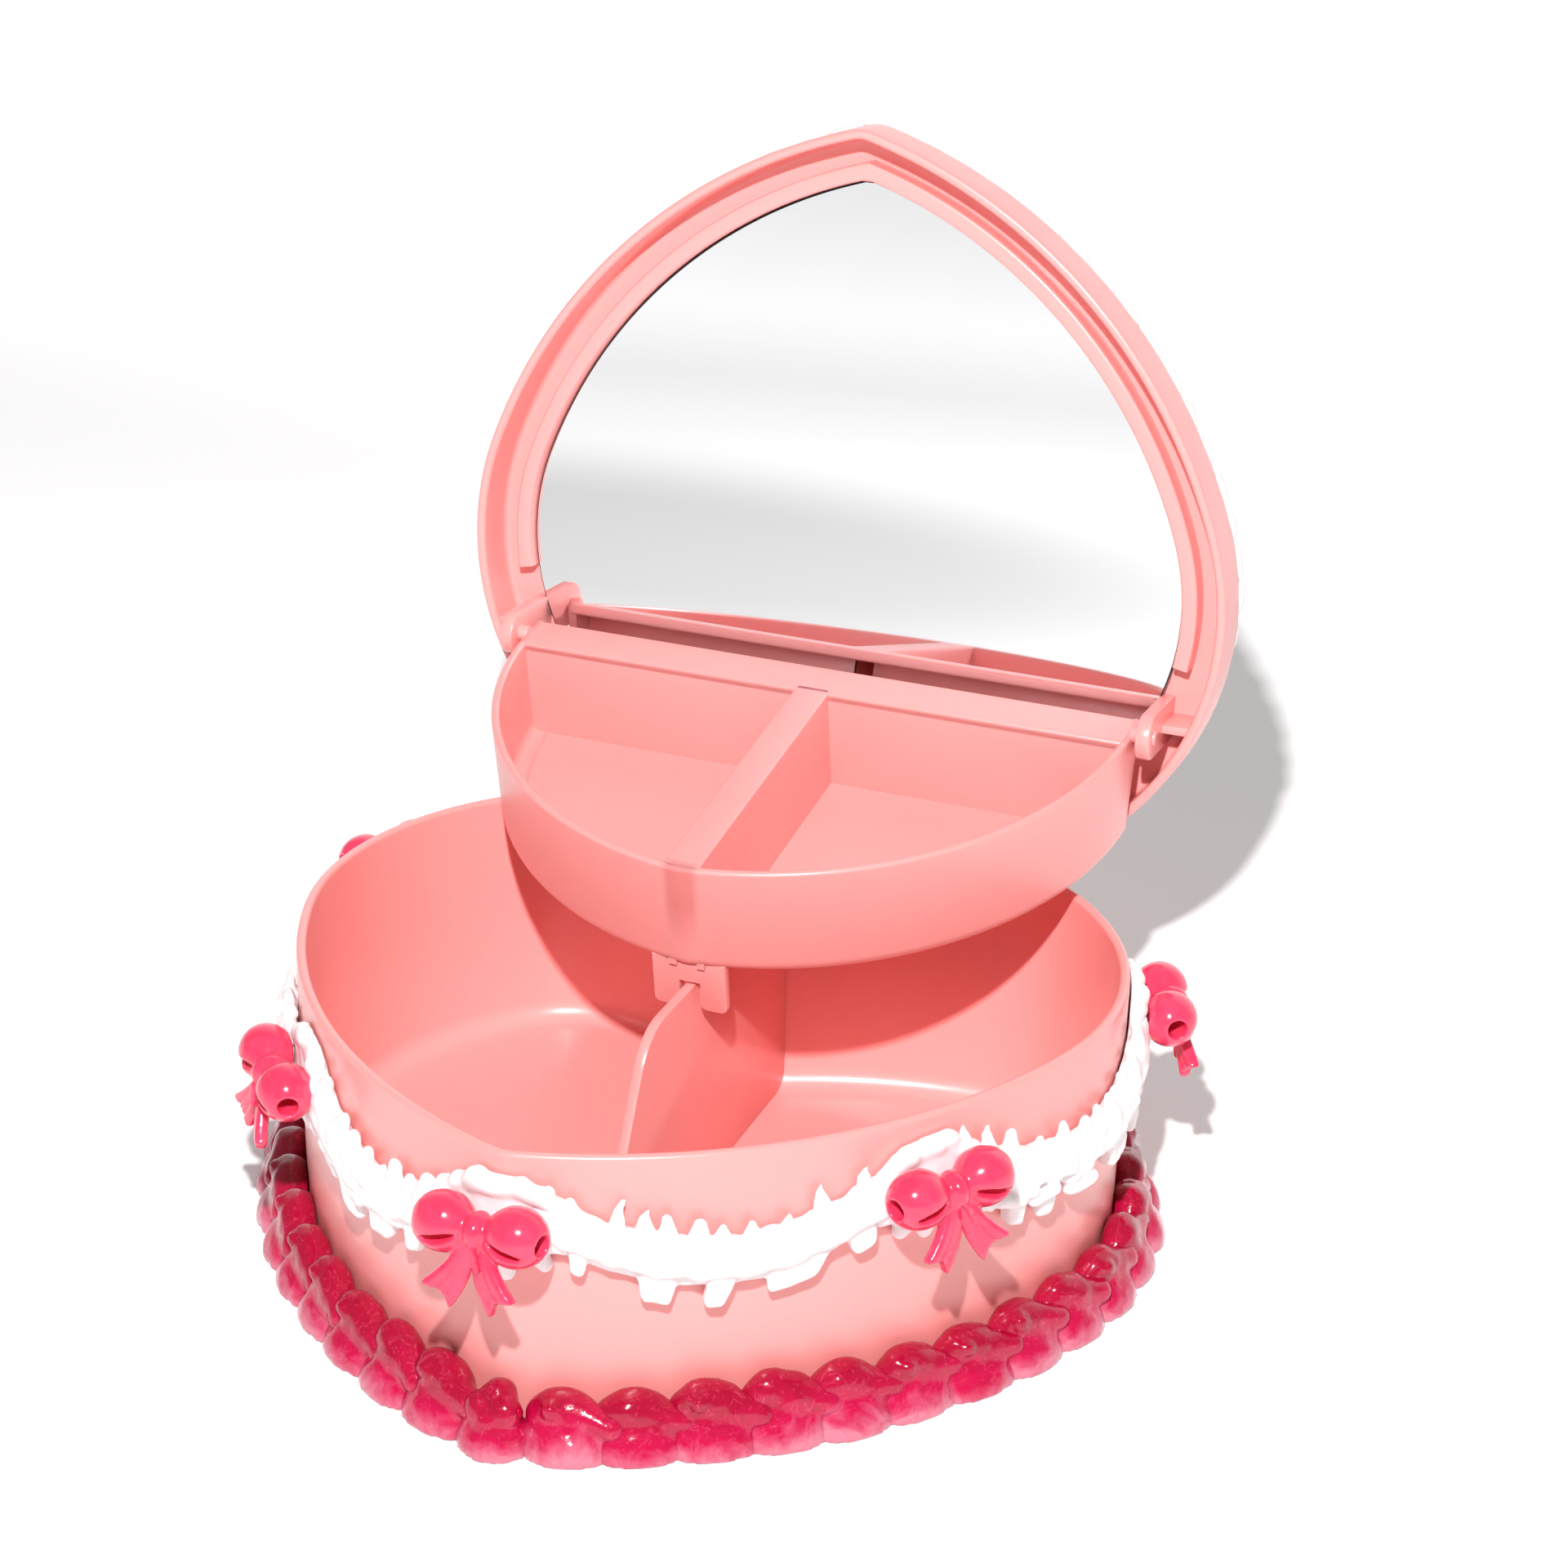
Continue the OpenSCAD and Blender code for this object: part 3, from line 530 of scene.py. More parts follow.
def build_lid():
    """The lid with the mirror's frame, the tray's two lugs and the hinge arms, turned to its open place."""
    parts = Parts()
    floor_z, top = LID_Z + MIRROR_DROP + MIRROR_T + TAPE_T, LID_Z + LID_DEPTH
    inside = [(-6, floor_z, 0), (0, floor_z, 1.2), (0, LID_Z, 0.8)]
    outside = [(WALL, LID_Z, 0.8), (WALL, top, 3.0), (-4, top, 0)]
    sweep_closed(parts, rounded(inside + outside, 7))
    mirror_frame(parts, floor_z)
    py, pz = PIVOT_LOCAL
    seat = floor_z + 0.4
    turns = np.linspace(math.pi, 2 * math.pi, 20)
    arc = [(py + LUG_R * math.cos(a), pz + LUG_R * math.sin(a)) for a in turns]
    lug = [(py - LUG_R, seat), *arc, (py + LUG_R, seat)]
    heels = Parts()
    for s in (-1, 1):
        plate(parts, 0, lug, *on_side(s, LUG_X), 0.35)
        x0, x1 = on_side(s, RIB_X)
        round_box(parts, (x0, py - 0.8, LID_Z + 1), (x1, py + 0.8, seat), 0.25)
        for k in (-1, 1):
            x = s * KNUCKLE_X + k * KNUCKLE_STEP
            x0, x1 = x - 2, x + 2
            rod_x(parts, (HINGE_Y, HINGE_Z), KNUCKLE_R, x0, x1)
            round_box(parts, (x0, HINGE_Y - 2.6, HINGE_Z), (x1, HINGE_Y + 2.5, LID_Z + 2), 0.25)
            round_box(parts, (x0, HINGE_Y - 4.1, LID_Z + 0.4), (x1, HINGE_Y + 2.5, LID_Z + 4.4), 0.25)
            round_box(heels, (x0, HINGE_Y - 2.9, HINGE_Z - 3.5), (x1, HINGE_Y, HINGE_Z), 0.25)
    parts.place(lid_matrix())
    parts.add(heels.v, heels.f)
    obj = make_object("lid", parts.v, parts.f, [mat_lid], "lid")
    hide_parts("lid_shell")


def build_mirror():
    """Float glass with silvering: a bright face, a thin seamed edge and a dark cut edge."""
    z0, z1 = LID_Z + MIRROR_DROP, LID_Z + MIRROR_DROP + MIRROR_T
    gap, seam = MIRROR_INSET + 0.2, 0.28
    verts = []
    for out, trim, z in ((-gap, 0, z1), (-gap, 0, z0 + 0.25), (-gap - seam, seam, z0)):
        foot = HINGE_Y - MIRROR_FOOT - trim
        verts += [(x, min(y, foot), z) for x, y in offset_path(heart_p, heart_n, out)]
    k = len(heart_p)
    faces = strips(3, k) + [tuple(range(k)), tuple(2 * k + i for i in range(k))[::-1]]
    # the last face is the silvered one, and the rest is edge
    ids = [1] * (len(faces) - 1) + [0]
    parts = Parts()
    parts.add(verts, faces)
    parts.place(lid_matrix())
    mats = [mat_mirror, mat_mirror_edge]
    obj = make_object("mirror_plate", parts.v, parts.f, mats, "lid", 20, ids, weld=0.004)
    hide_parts("mirror")


def tray_wall(parts, p, n, low, inner_y):
    """The front wall with its rounded foot, cut off flat behind."""
    floor_z, overlap = low + TRAY_FLOOR, TRAY_WALL + 3.5
    inside = [(-overlap, floor_z, 0), (-TRAY_WALL, floor_z, 2.0), (-TRAY_WALL, TRAY_RIM, 0.7)]
    outside = [(0, TRAY_RIM, 0.7), (-TRAY_DRAFT, low, 2.6), (-overlap, low, 0)]
    chain = rounded(inside + outside, 7)
    k, m = len(p), len(chain)
    verts, faces = [], []
    for u, z in chain:
        q = p + n * u + [0, TRAY_BACK - TRAY_BULGE]
        q[:, 1] = np.minimum(q[:, 1], inner_y + TRAY_WALL if z < TRAY_RIM - FLANGE_T else TRAY_BACK)
        verts += [(x, y, z) for x, y in q]
    for j in range(m):
        j2 = (j + 1) % m
        faces += [(j * k + i, j * k + i + 1, j2 * k + i + 1, j2 * k + i) for i in range(k - 1)]
    faces.append(tuple(j * k for j in range(m)))
    faces.append(tuple(j * k + k - 1 for j in range(m))[::-1])
    parts.add(verts, faces)


def tray_floor(parts, p, n, low, inner_y):
    """The floor in two halves, which leave the divider's slot open.

    Its top lies a hair below the wall's foot, so that no two faces share a plane.
    """
    q = p + n * (-TRAY_WALL - 3.0) + [0, TRAY_BACK - TRAY_BULGE]
    back, hair = inner_y + 0.8, 0.02
    q[:, 1] = np.minimum(q[:, 1], back)
    for s in (-1, 1):
        rim = q[q[:, 0] * s > 2.0]
        front = rim[:, 1].min()
        edge = np.vstack([[(s * SLOT, front)], rim if s > 0 else rim[::-1], [(s * SLOT, back)]])
        k = len(edge)
        verts = [(x, y, z) for z in (low, low + TRAY_FLOOR - hair) for x, y in edge]
        faces = [tuple(range(k))[::-1], tuple(k + i for i in range(k))]
        faces += [(i, (i + 1) % k, k + (i + 1) % k, k + i) for i in range(k)]
        parts.add(verts, faces)


def tray_fork(parts, low):
    """The forked plate under the tray's front, which straddles the partition."""
    y0 = TRAY_BACK - TRAY_DEPTH + TRAY_WALL
    notch = low - 3.7
    tip = notch - 5.5
    r = 1.2
    half, centre_z = SLOT + 5.0, tip + r
    outer_turn, inner_turn = np.linspace(0.2, math.pi / 2, 5), np.linspace(0, math.pi / 2, 5)
    left = [(-half, low + 1.0), (-half, centre_z)]
    left += [(-half + r - r * math.cos(a), centre_z - r * math.sin(a)) for a in outer_turn]
    left += [(-SLOT - r + r * math.sin(a), centre_z - r * math.cos(a)) for a in inner_turn]
    left += [(-SLOT, notch)]
    plate(parts, 1, left + [(-x, z) for x, z in left[::-1]], y0, y0 + 2.0, 0.3)


def build_tray():
    """The half-heart tray: wall, floor, back beam and stubs, flange, divider and fork."""
    parts = Parts()
    last = math.asin(TRAY_BULGE / TRAY["sr"])
    p, n = open_path(front_arcs(**TRAY, last=math.degrees(last)), 1.6)
    low, inner_y = TRAY_RIM - TRAY_H, TRAY_BACK - FLANGE_W
    tray_wall(parts, p, n, low, inner_y)
    tray_floor(parts, p, n, low, inner_y)
    half = TRAY["sx"] + TRAY["sr"] * math.cos(last)
    for s in (-1, 1):
        x0, x1 = on_side(s, (SLOT, half - 1.0))
        round_box(parts, (x0, inner_y, low), (x1, inner_y + TRAY_WALL, TRAY_RIM - 0.4), 0.25)
        rod_x(parts, (0, 0), 1.5, *on_side(s, (half - 0.5, 64.9)), 0.25)
    # hollow divider, open below
    outer_half, slot_top = 3.3, TRAY_RIM - 1.5
    section = [(-outer_half, low, 0), (-outer_half, TRAY_RIM, 0.35)]
    section += [(outer_half, TRAY_RIM, 0.35), (outer_half, low, 0)]
    section += [(SLOT, low, 0), (SLOT, slot_top, 0), (-SLOT, slot_top, 0), (-SLOT, low, 0)]
    prism_y(parts, rounded(section, 3), TRAY_BACK - TRAY_DEPTH + 1.0, inner_y + 1.2)
    flange = ((-half + 0.2, inner_y, TRAY_RIM - FLANGE_T), (half - 0.2, TRAY_BACK, TRAY_RIM))
    round_box(parts, *flange, 0.5, 3)
    tray_fork(parts, low)
    parts.place(tray_matrix())
    obj = make_object("tray_moulding", parts.v, parts.f, [mat_tray], "tray", 35)
    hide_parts("tray")


# ---- piped cream and cast resin ------------------------------------------------------------------
# These soft shapes are fields of distance to their surface, skinned with quads.
def skin(field, origin, step):
    """A closed skin of quads round the part of the grid where the field is negative."""
    shape = np.array(field.shape)
    cells = tuple(shape - 1)
    total, count = np.zeros(cells + (3,)), np.zeros(cells)
    index = np.stack(np.meshgrid(*[np.arange(n) for n in shape], indexing="ij"), -1).astype(float)
    edges = []
    for axis in range(3):
        first = [slice(None)] * 3
        first[axis] = slice(0, -1)
        second = [slice(None)] * 3
        second[axis] = slice(1, None)
        a, b = field[tuple(first)], field[tuple(second)]
        cross = (a < 0) != (b < 0)
        t = np.where(cross, a / np.where(a == b, 1, a - b), 0)
        at = index[tuple(first)].copy()
        at[..., axis] += t
        at *= cross[..., None]
        others = [k for k in range(3) if k != axis]
        for d0 in (0, 1):
            for d1 in (0, 1):
                cut = [slice(None)] * 3
                cut[others[0]] = slice(d0, d0 + cells[others[0]])
                cut[others[1]] = slice(d1, d1 + cells[others[1]])
                total += at[tuple(cut)]
                count += cross[tuple(cut)]
        edges.append((cross, a < 0, others))
    used = count > 0
    serial = np.full(cells, -1)
    serial[used] = np.arange(used.sum())
    verts = total[used] / count[used][:, None] * step + np.array(origin)
    faces = []
    for axis, (cross, inside, pair) in enumerate(edges):
        where = np.argwhere(cross)
        for k in pair:
            where = where[(where[:, k] > 0) & (where[:, k] < shape[k] - 1)]
        ring = []
        for shift in ((1, 1), (0, 1), (0, 0), (1, 0)):
            corner = where.copy()
            corner[:, pair] -= shift
            ring.append(serial[tuple(corner.T)])
        ring = np.stack(ring, 1)
        flip = inside[tuple(where.T)] if axis != 1 else ~inside[tuple(where.T)]
        ring[~flip] = ring[~flip][:, ::-1]
        faces.append(ring)
    return verts, np.vstack(faces)


def grid(lo, hi, step):
    """The points of a regular grid between two corners."""
    axes = [np.arange(a, b + step, step) for a, b in zip(lo, hi)]
    return np.stack(np.meshgrid(*axes, indexing="ij"), -1)


def blend(a, b, k):
    """Soft union over a blend of width k."""
    h = np.clip(k - np.abs(a - b), 0, None) / k
    return np.minimum(a, b) - h * h * k / 4


def carve(a, b, k):
    """Takes b out of a with a soft edge of width k."""
    return -blend(-a, b, k)


def egg(p, centre, radii):
    """Nearly the distance to an ellipsoid."""
    q = p - np.array(centre)
    r = np.array(radii, float)
    k0, k1 = np.linalg.norm(q / r, axis=-1), np.linalg.norm(q / (r * r), axis=-1)
    return k0 * (k0 - 1) / np.maximum(k1, 1e-9)


def finger(p, a, b, ra, rb):
    """A round cone from a to b."""
    a, b = np.array(a, float), np.array(b, float)
    t = np.clip((p - a) @ (b - a) / ((b - a) @ (b - a)), 0, 1)
    return np.linalg.norm(p - a - t[..., None] * (b - a), axis=-1) - (ra + (rb - ra) * t)


def slab(p, centre, half, r):
    """A box with round edges."""
    q = np.abs(p - np.array(centre)) - (np.array(half) - r)
    return np.linalg.norm(np.maximum(q, 0), axis=-1) + np.minimum(q.max(-1), 0) - r


def ripple(p, seed, scale, count=5):
    """A smooth random relief between about -1 and 1."""
    r = np.random.default_rng(seed)
    out = 0
    for _ in range(count):
        d = r.normal(size=3)
        d *= 2 * math.pi / scale * r.uniform(0.6, 1.4) / np.linalg.norm(d)
        out = out + np.sin(p @ d + r.uniform(0, 6.28))
    return out / count * 1.4


# in a bow x runs along the wall, y outwards from the bow's middle, z up
def bow_tail(p, side):
    """A tail that widens along a bent line, with two folds in it and a notched end."""
    a = np.array((side * 0.9, 1.6, -1.2))
    b = np.array((side * 1.8, 3.3, -6.0))
    c = np.array((side * 5.2, 4.2, -9.9))
    length, edge = 10.8, 0.6
    best = np.full(p.shape[:-1], 1e9)
    at, across, depth = (np.zeros(p.shape[:-1]) for _ in range(3))
    for t in np.linspace(0, 1, 28):
        q = (1 - t) ** 2 * a + 2 * t * (1 - t) * b + t * t * c
        d = (1 - t) * (b - a) + t * (c - b)
        d /= np.linalg.norm(d)
        w = np.cross(d, (0, -1, 0.25))
        w /= np.linalg.norm(w)
        n = np.cross(w, d)
        v = p - q
        dist = (v * v).sum(-1)
        near = dist < best
        best = np.where(near, dist, best)
        along = v @ d
        at = np.where(near, t * length + (along if t in (0, 1) else 0), at)
        across = np.where(near, v @ w, across)
        depth = np.where(near, v @ n, depth)
    u = np.clip(at / length, 0, 1)
    half = 1.2 + 1.85 * u ** 0.8
    s = np.clip(np.abs(across) / half, 0, 1)
    wave = np.cos(s * math.pi * 3) ** 2
    groove = 0.42 * u * wave * (s > 0.166) * (s < 0.5) + 0.25 * u * (s < 0.166) * wave
    thick = 1.25 - 0.35 * s * s
    end = at - (10.3 + 1.6 * s ** 1.5)
    end = np.maximum(end, -edge - at)
    q = np.stack([np.abs(across) - half + edge, np.abs(depth) - (thick - groove) + edge, end + edge], -1)
    return np.linalg.norm(np.maximum(q, 0), axis=-1) + np.minimum(q.max(-1), 0) - edge


def bow_mesh():
    """A cast bow: a knot, two loops with a fold and an end hole each, and two tails under a ridge."""
    step = 0.3
    lo = (-12.6, -4.6, -13.6)
    p = grid(lo, (12.6, 7.2, 6.4), step)
    f = egg(p, (0, 0.9, 0.35), (2.15, 3.3, 2.9))
    for side in (-1, 1):
        loop = egg(p, (side * 6.35, 0, 0), (5.0, 4.75, 4.8))
        loop = blend(loop, finger(p, (side * 1.2, 0.6, 0), (side * 4.5, 0.2, 0), 1.6, 3.2), 2.6)
        # the fold's opening, low on the front
        slope = side * -0.22
        q = p - np.array([side * 5.5, 4.6, -0.7])
        tall = q[..., 2] - slope * q[..., 0]
        lens = np.sqrt((q[..., 0] / 3.1) ** 2 + (tall / 0.85) ** 2 + (q[..., 1] / 2.6) ** 2)
        loop = carve(loop, (lens - 1) * 0.75, 0.45)
        # crease that gathers the loop towards the knot
        crease = finger(p, (side * 1.9, 3.6, 2.3), (side * 4.8, 5.4, 2.6), 0.3, 0.05)
        loop = carve(loop, crease, 0.5)
        # the hole through the outer end
        turn = math.radians(10)
        axis = np.array([side * math.cos(turn), math.sin(turn), 0])
        tip = np.array([side * 6.35, 0, 0]) + axis * 4.9
        loop = carve(loop, finger(p, tip - axis * 4.2, tip + axis * 2, 1.5, 1.85), 0.35)
        f = blend(f, loop, 0.5)
    tails = np.minimum(bow_tail(p, -1), bow_tail(p, 1))
    f = blend(f, tails, 0.7)
    ridge = finger(p, (0.5, 3.9, -1.4), (1.6, 4.6, -4.6), 0.55, 0.4)
    f = blend(f, ridge, 0.5)
    f = np.maximum(f, -3.9 - p[..., 1])
    return skin(f, lo, step)


# ---- places along the wall -----------------------------------------------------------------------
TRIM = heart_arcs(16.0)
HALF = sum(abs(a1 - a0) * math.pi / 180 * r for _, r, a0, a1, _ in TRIM)
# bows by their length along the wall from the tip, and the room that a swag leaves beside them
BOW_AT = {
    "tip": 0.0, "front_right": 67.0, "front_left": -54.5,
    "rear_right": 136.0, "rear_left": -136.0, "back": HALF,
}
BOW_CLEAR, BACK_CLEAR = 7.4, 6.0


def along_wall(s):
    """Points and outward directions at lengths s from the tip, positive to the right."""
    s = np.asarray(s, float)
    s = (s + HALF) % (2 * HALF) - HALF
    side, left = np.where(s < 0, -1.0, 1.0), np.abs(s)
    p, n = np.zeros(s.shape + (2,)), np.zeros(s.shape + (2,))
    done = 0.0
    for k, (c, r, a0, a1, sign) in enumerate(TRIM):
        size = abs(a1 - a0) * math.pi / 180 * r
        here = (left >= done) & (left <= done + size + (1 if k == len(TRIM) - 1 else 0))
        a = np.radians(a0 + (a1 - a0) * np.clip((left - done) / size, 0, 1))
        d = np.stack([np.cos(a), np.sin(a)], -1)
        p[here], n[here] = (np.array(c) + r * d)[here], (sign * d)[here]
        done += size
    p[..., 0] *= side
    n[..., 0] *= side
    return p, n


def on_wall(verts):
    """Bends (length along the wall, distance out from its face, z) round the heart."""
    p, n = along_wall(verts[:, 0])
    return np.column_stack([p + n * (WALL + verts[:, 1:2]), verts[:, 2]])


def stand_on_wall(verts, s, out, z, tilt=0.0):
    """Stands a stiff piece on the wall at length s, turned by tilt degrees in its own plane."""
    p, n = along_wall(np.array([s]))
    p, n = p[0], n[0]
    t = np.array([-n[1], n[0]])
    a = math.radians(tilt)
    x = verts[:, 0] * math.cos(a) - verts[:, 2] * math.sin(a)
    up = verts[:, 0] * math.sin(a) + verts[:, 2] * math.cos(a)
    flat = p + n * WALL + t * x[:, None] + n * (out + verts[:, 1])[:, None]
    return np.column_stack([flat, z + up])


def build_bows():
    verts, faces = bow_mesh()
    tilts = {"tip": 0, "front_right": 3, "front_left": -5, "rear_right": -3, "rear_left": 3, "back": 0}
    for name, s in BOW_AT.items():
        placed = stand_on_wall(verts, s, BOW_OUT, BOW_Z, tilts[name])
        obj = make_object("bow_" + name + "_casting", placed, faces, [mat_bow], "bowl", 80)
        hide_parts("bow_" + name)


def swag_mesh(start, end, seed, teeth, petal_pitch, lumpy):
    """A draped band of piped cream: blunt upright petals, a lip, a shelf below it and hanging teeth."""
    r = np.random.default_rng(seed)
    step = 0.4
    span = end - start
    lo = (start - 3.5, 0.1, BOW_Z - 19)
    p = grid(lo, (end + 3.5, 7.5, BOW_Z + 6.5), step)
    s, o, z = p[..., 0], p[..., 1], p[..., 2]

    def sag(q):
        return BOW_Z - 0.6 - 7.4 * np.sin(math.pi * np.clip((q - start) / span, 0, 1)) ** 0.9

    mid = sag(s)
    wave = 0.5 * np.sin(s * 0.9 + seed) + 0.3 * np.sin(s * 1.9 + 2 * seed)
    inside = np.clip(np.minimum(s - start, end - s), None, 0)
    roll = np.hypot(o - 1.5, (z - mid - 0.3 - wave * 0.4) * 0.78) - 2.45
    f = np.hypot(np.maximum(roll, 0), inside) + np.minimum(roll, 0)
    lip = np.hypot(np.hypot(o - 3.2 - 0.3 * wave, (z - mid + 1.7 - wave * 0.7) * 0.8), inside) - 1.15
    f = blend(f, lip, 0.8)
    # petals
    at = start - 1.0
    while at < end + 1.0:
        m = float(sag(at))
        w = r.uniform(2.1, 2.9)
        top = r.uniform(4.4, 6.6) - 1.4 * lumpy
        lean = r.uniform(-0.9, 1.1)
        crown = r.uniform(0.6, 1.2) + 0.5 * lumpy
        flat = np.stack([s, 1.9 + (o - 1.9) * 1.5, z], -1)
        root = (at, 2.4 + 0.5 * r.random(), m + 1.0)
        peak = (at + lean, r.uniform(1.4, 2.0), m + top)
        f = blend(f, finger(flat, root, peak, w, crown) * 0.8, 0.3 + 0.3 * lumpy)
        if r.random() < 0.4:
            curl = (at + lean * 1.5 + 0.5, 1.2, m + top + 1.5)
            f = blend(f, finger(p, (at + lean, 1.4, m + top), curl, crown * 0.8, 0.3), 0.3)
        at += petal_pitch * r.uniform(0.7, 1.35)
    shelf = np.stack([s, o, z - mid], -1)
    f = np.minimum(f, slab(shelf, ((start + end) / 2, 1.1, -2.9), (span / 2, 1.1, 2.2), 0.7))
    # teeth, sheared to follow the band
    for t0, t1, deep, lean in teeth:
        at, w = start + (t0 + t1) / 2, (t1 - t0) / 2
        m = float(sag(at))
        slope = float(sag(at + w * 0.6) - sag(at - w * 0.6)) / (1.2 * w)
        q = p.copy()
        q[..., 2] = z - (s - at) * slope
        under = q[..., 2] - (m - 2.0)
        q[..., 0] = at + (s - at - lean * under) / np.clip(1 + 0.055 * under, 0.6, 1.1)
        thick = r.uniform(1.35, 1.75)
        edge = min(1.1 + 0.5 * lumpy, w * 0.8)
        tooth = slab(q, (at, thick + 0.3, m - deep / 2 - 0.4), (w, thick, deep / 2), edge)
        f = np.minimum(f, tooth) if not lumpy else blend(f, tooth, 0.6)
    # smears on the rougher swags
    if lumpy:
        for _ in range(int(span / 3.4)):
            at = r.uniform(start, end)
            up = float(sag(at)) + r.uniform(-6, 3.0)
            smear_end = (at + 1.8, r.uniform(2.2, 3.6), up + r.uniform(-1, 1))
            f = blend(f, finger(p, (at - 1.8, 2.4, up), smear_end, 1.6, 1.3), 0.35)
    f = f + 0.13 * ripple(p, seed, 2.6) + 0.14 * ripple(p, seed + 9, 6.0)
    f = np.maximum(f, 0.32 - o)
    return skin(f, lo, step)


def random_teeth(span, seed, wide, gap, deep):
    """Teeth as (from, to, depth, lean) along a swag, a little uneven."""
    r = np.random.default_rng(seed)
    teeth, at = [], r.uniform(0.5, 1.5)
    while at < span - wide * 0.5:
        w = min(wide * r.uniform(0.75, 1.3), span - at)
        teeth.append((at, at + w, deep * r.uniform(0.85, 1.15), r.uniform(-0.12, 0.12)))
        at += w + gap * r.uniform(0.6, 1.4)
    return teeth


# teeth of the front right swag, as (from, to, depth, lean)
LARGE_TEETH = [
    (2.6, 5.8, 7.2, 0.1), (12.4, 19.2, 8.4, 0.05), (23.4, 28.2, 8.4, 0.25),
    (32.4, 43.6, 7.4, 0.3), (44.4, 49.6, 7.4, -0.2),
]
# (from, to, seed, teeth or their (width, gap, depth), petal pitch, lumpiness)
SWAGS = {
    "front_right": ("tip", "front_right", 3, LARGE_TEETH, 4.9, 0.0),
    "front_left": ("front_left", "tip", 11, (5.8, 1.6, 7.8), 4.8, 1.0),
    "side_right": ("front_right", "rear_right", 23, (6.4, 2.6, 9.0), 4.9, 0.1),
    "side_left": ("rear_left", "front_left", 31, (6.0, 2.6, 7.4), 4.4, 0.6),
    "back_right": ("rear_right", "back", 43, (6.4, 2.6, 7.6), 4.2, 0.2),
    "back_left": ("back", "rear_left", 57, (6.2, 2.8, 7.4), 4.3, 0.4),
}


def build_swags():
    for name, (a, b, seed, teeth, petal_pitch, lumpy) in SWAGS.items():
        start = BOW_AT[a] if a != "back" else -HALF
        start += BOW_CLEAR + (BACK_CLEAR if a == "back" else 0)
        end = BOW_AT[b] - BOW_CLEAR - (BACK_CLEAR if b == "back" else 0)
        if isinstance(teeth, tuple):
            teeth = random_teeth(end - start, seed + 2, *teeth)
        verts, faces = swag_mesh(start, end, seed, teeth, petal_pitch, lumpy)
        obj = make_object("swag_" + name + "_piping", on_wall(verts), faces, [mat_cream], "bowl", 80)
        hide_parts("cream_swag_" + name)


def dab_mesh(seed):
    """A mound of cream under a bow, laid in overlapping strokes."""
    r = np.random.default_rng(seed)
    step = 0.4
    lo = (-13.5, 0.1, -11.5)
    p = grid(lo, (13.5, 7.0, 10.5), step)
    f = egg(p, (0, 0.6, -1.0), (9.4, 2.8, 8.2))
    # strokes round the top and sides
    for k in range(11):
        a = math.radians(-25 + 230 * k / 10 + r.uniform(-6, 6))
        b = a + math.radians(r.uniform(18, 30))
        rad = r.uniform(6.4, 7.4)
        h = r.uniform(1.2, 2.2)
        q0 = (1.28 * rad * math.cos(a), h, -0.8 + rad * math.sin(a) * 0.95)
        q1 = (1.28 * rad * math.cos(b), h * 0.8, -0.8 + (rad - 0.8) * math.sin(b) * 0.95)
        f = blend(f, finger(p, q0, q1, r.uniform(1.6, 2.2), r.uniform(1.2, 1.7)), 0.55)
    # blunt ends that hang below
    for k in range(5):
        a = math.radians(200 + 140 * k / 4 + r.uniform(-8, 8))
        q0 = (7.5 * math.cos(a), 1.6, -1.5 + 5.5 * math.sin(a))
        q1 = (10.0 * math.cos(a), 1.4, -1.5 + 8.2 * math.sin(a))
        f = blend(f, finger(p, q0, q1, 1.9, 1.3), 0.7)
    f = f + 0.14 * ripple(p, seed, 2.8) + 0.12 * ripple(p, seed + 5, 6.5)
    f = np.maximum(f, 0.32 - p[..., 1])
    return skin(f, lo, step)


def build_dabs():
    for k, (name, s) in enumerate(BOW_AT.items()):
        verts, faces = dab_mesh(100 + 7 * k)
        verts = on_wall(verts + [s, 0, BOW_Z - 1.0])
        obj = make_object("dab_" + name + "_piping", verts, faces, [mat_cream], "bowl", 80)
        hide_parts("cream_dab_" + name)


# ---- shells piped along a path -------------------------------------------------------------------
def border_shell(seed, tip=False):
    """One shell of the cast border: a crown over a flared foot, and a twist that runs on to the next."""
    r = np.random.default_rng(seed)
    step = 0.62
    lo = (-9.0, -4.4, -1.0)
    p = grid(lo, (11.0, 6.6, 13.6), step)
    high = r.uniform(-0.4, 0.6)
    if tip:
        f = egg(p, (0, 0.2, 0.6), (6.4, 5.2, 6.6))
        knobs = ((-2.4, 0.4, 6.6, 2.6), (2.2, 0.2, 7.0, 2.7), (-0.3, 1.5, 5.4, 2.6), (0.3, -1.5, 8.4, 2.9))
        for x, y, z, w in knobs:
            f = blend(f, egg(p, (x, y, z), (w, w, w + 0.3)), 0.4)
    else:
        crown = egg(p, (-0.6, -1.4, 6.0 + high), (6.0, 3.4, 4.7))
        f = blend(crown, egg(p, (0.2, 0.0, 0.0), (7.8, 5.4, 6.4)), 2.4)
        f = blend(f, finger(p, (-1.6, -0.8, 8.0 + high), (7.4, 0.4, 5.2), 2.6, 2.4), 1.2)
        f = carve(f, finger(p, (-4.4, 2.7, 8.2), (5.2, 4.3, 3.4), 0.15, 0.3), 0.8)
        if r.random() < 0.6:
            f = blend(f, egg(p, (r.uniform(-2.5, 0), 1.4, 8.6), (1.6, 1.4, 1.5)), 0.5)
    f = f + 0.12 * ripple(p, seed, 3.0) + 0.2 * ripple(p, seed + 3, 6.5)
    f = np.maximum(f, 0.02 - p[..., 2])
    f = np.maximum(f, -3.9 - p[..., 1])
    return skin(f, lo, step)


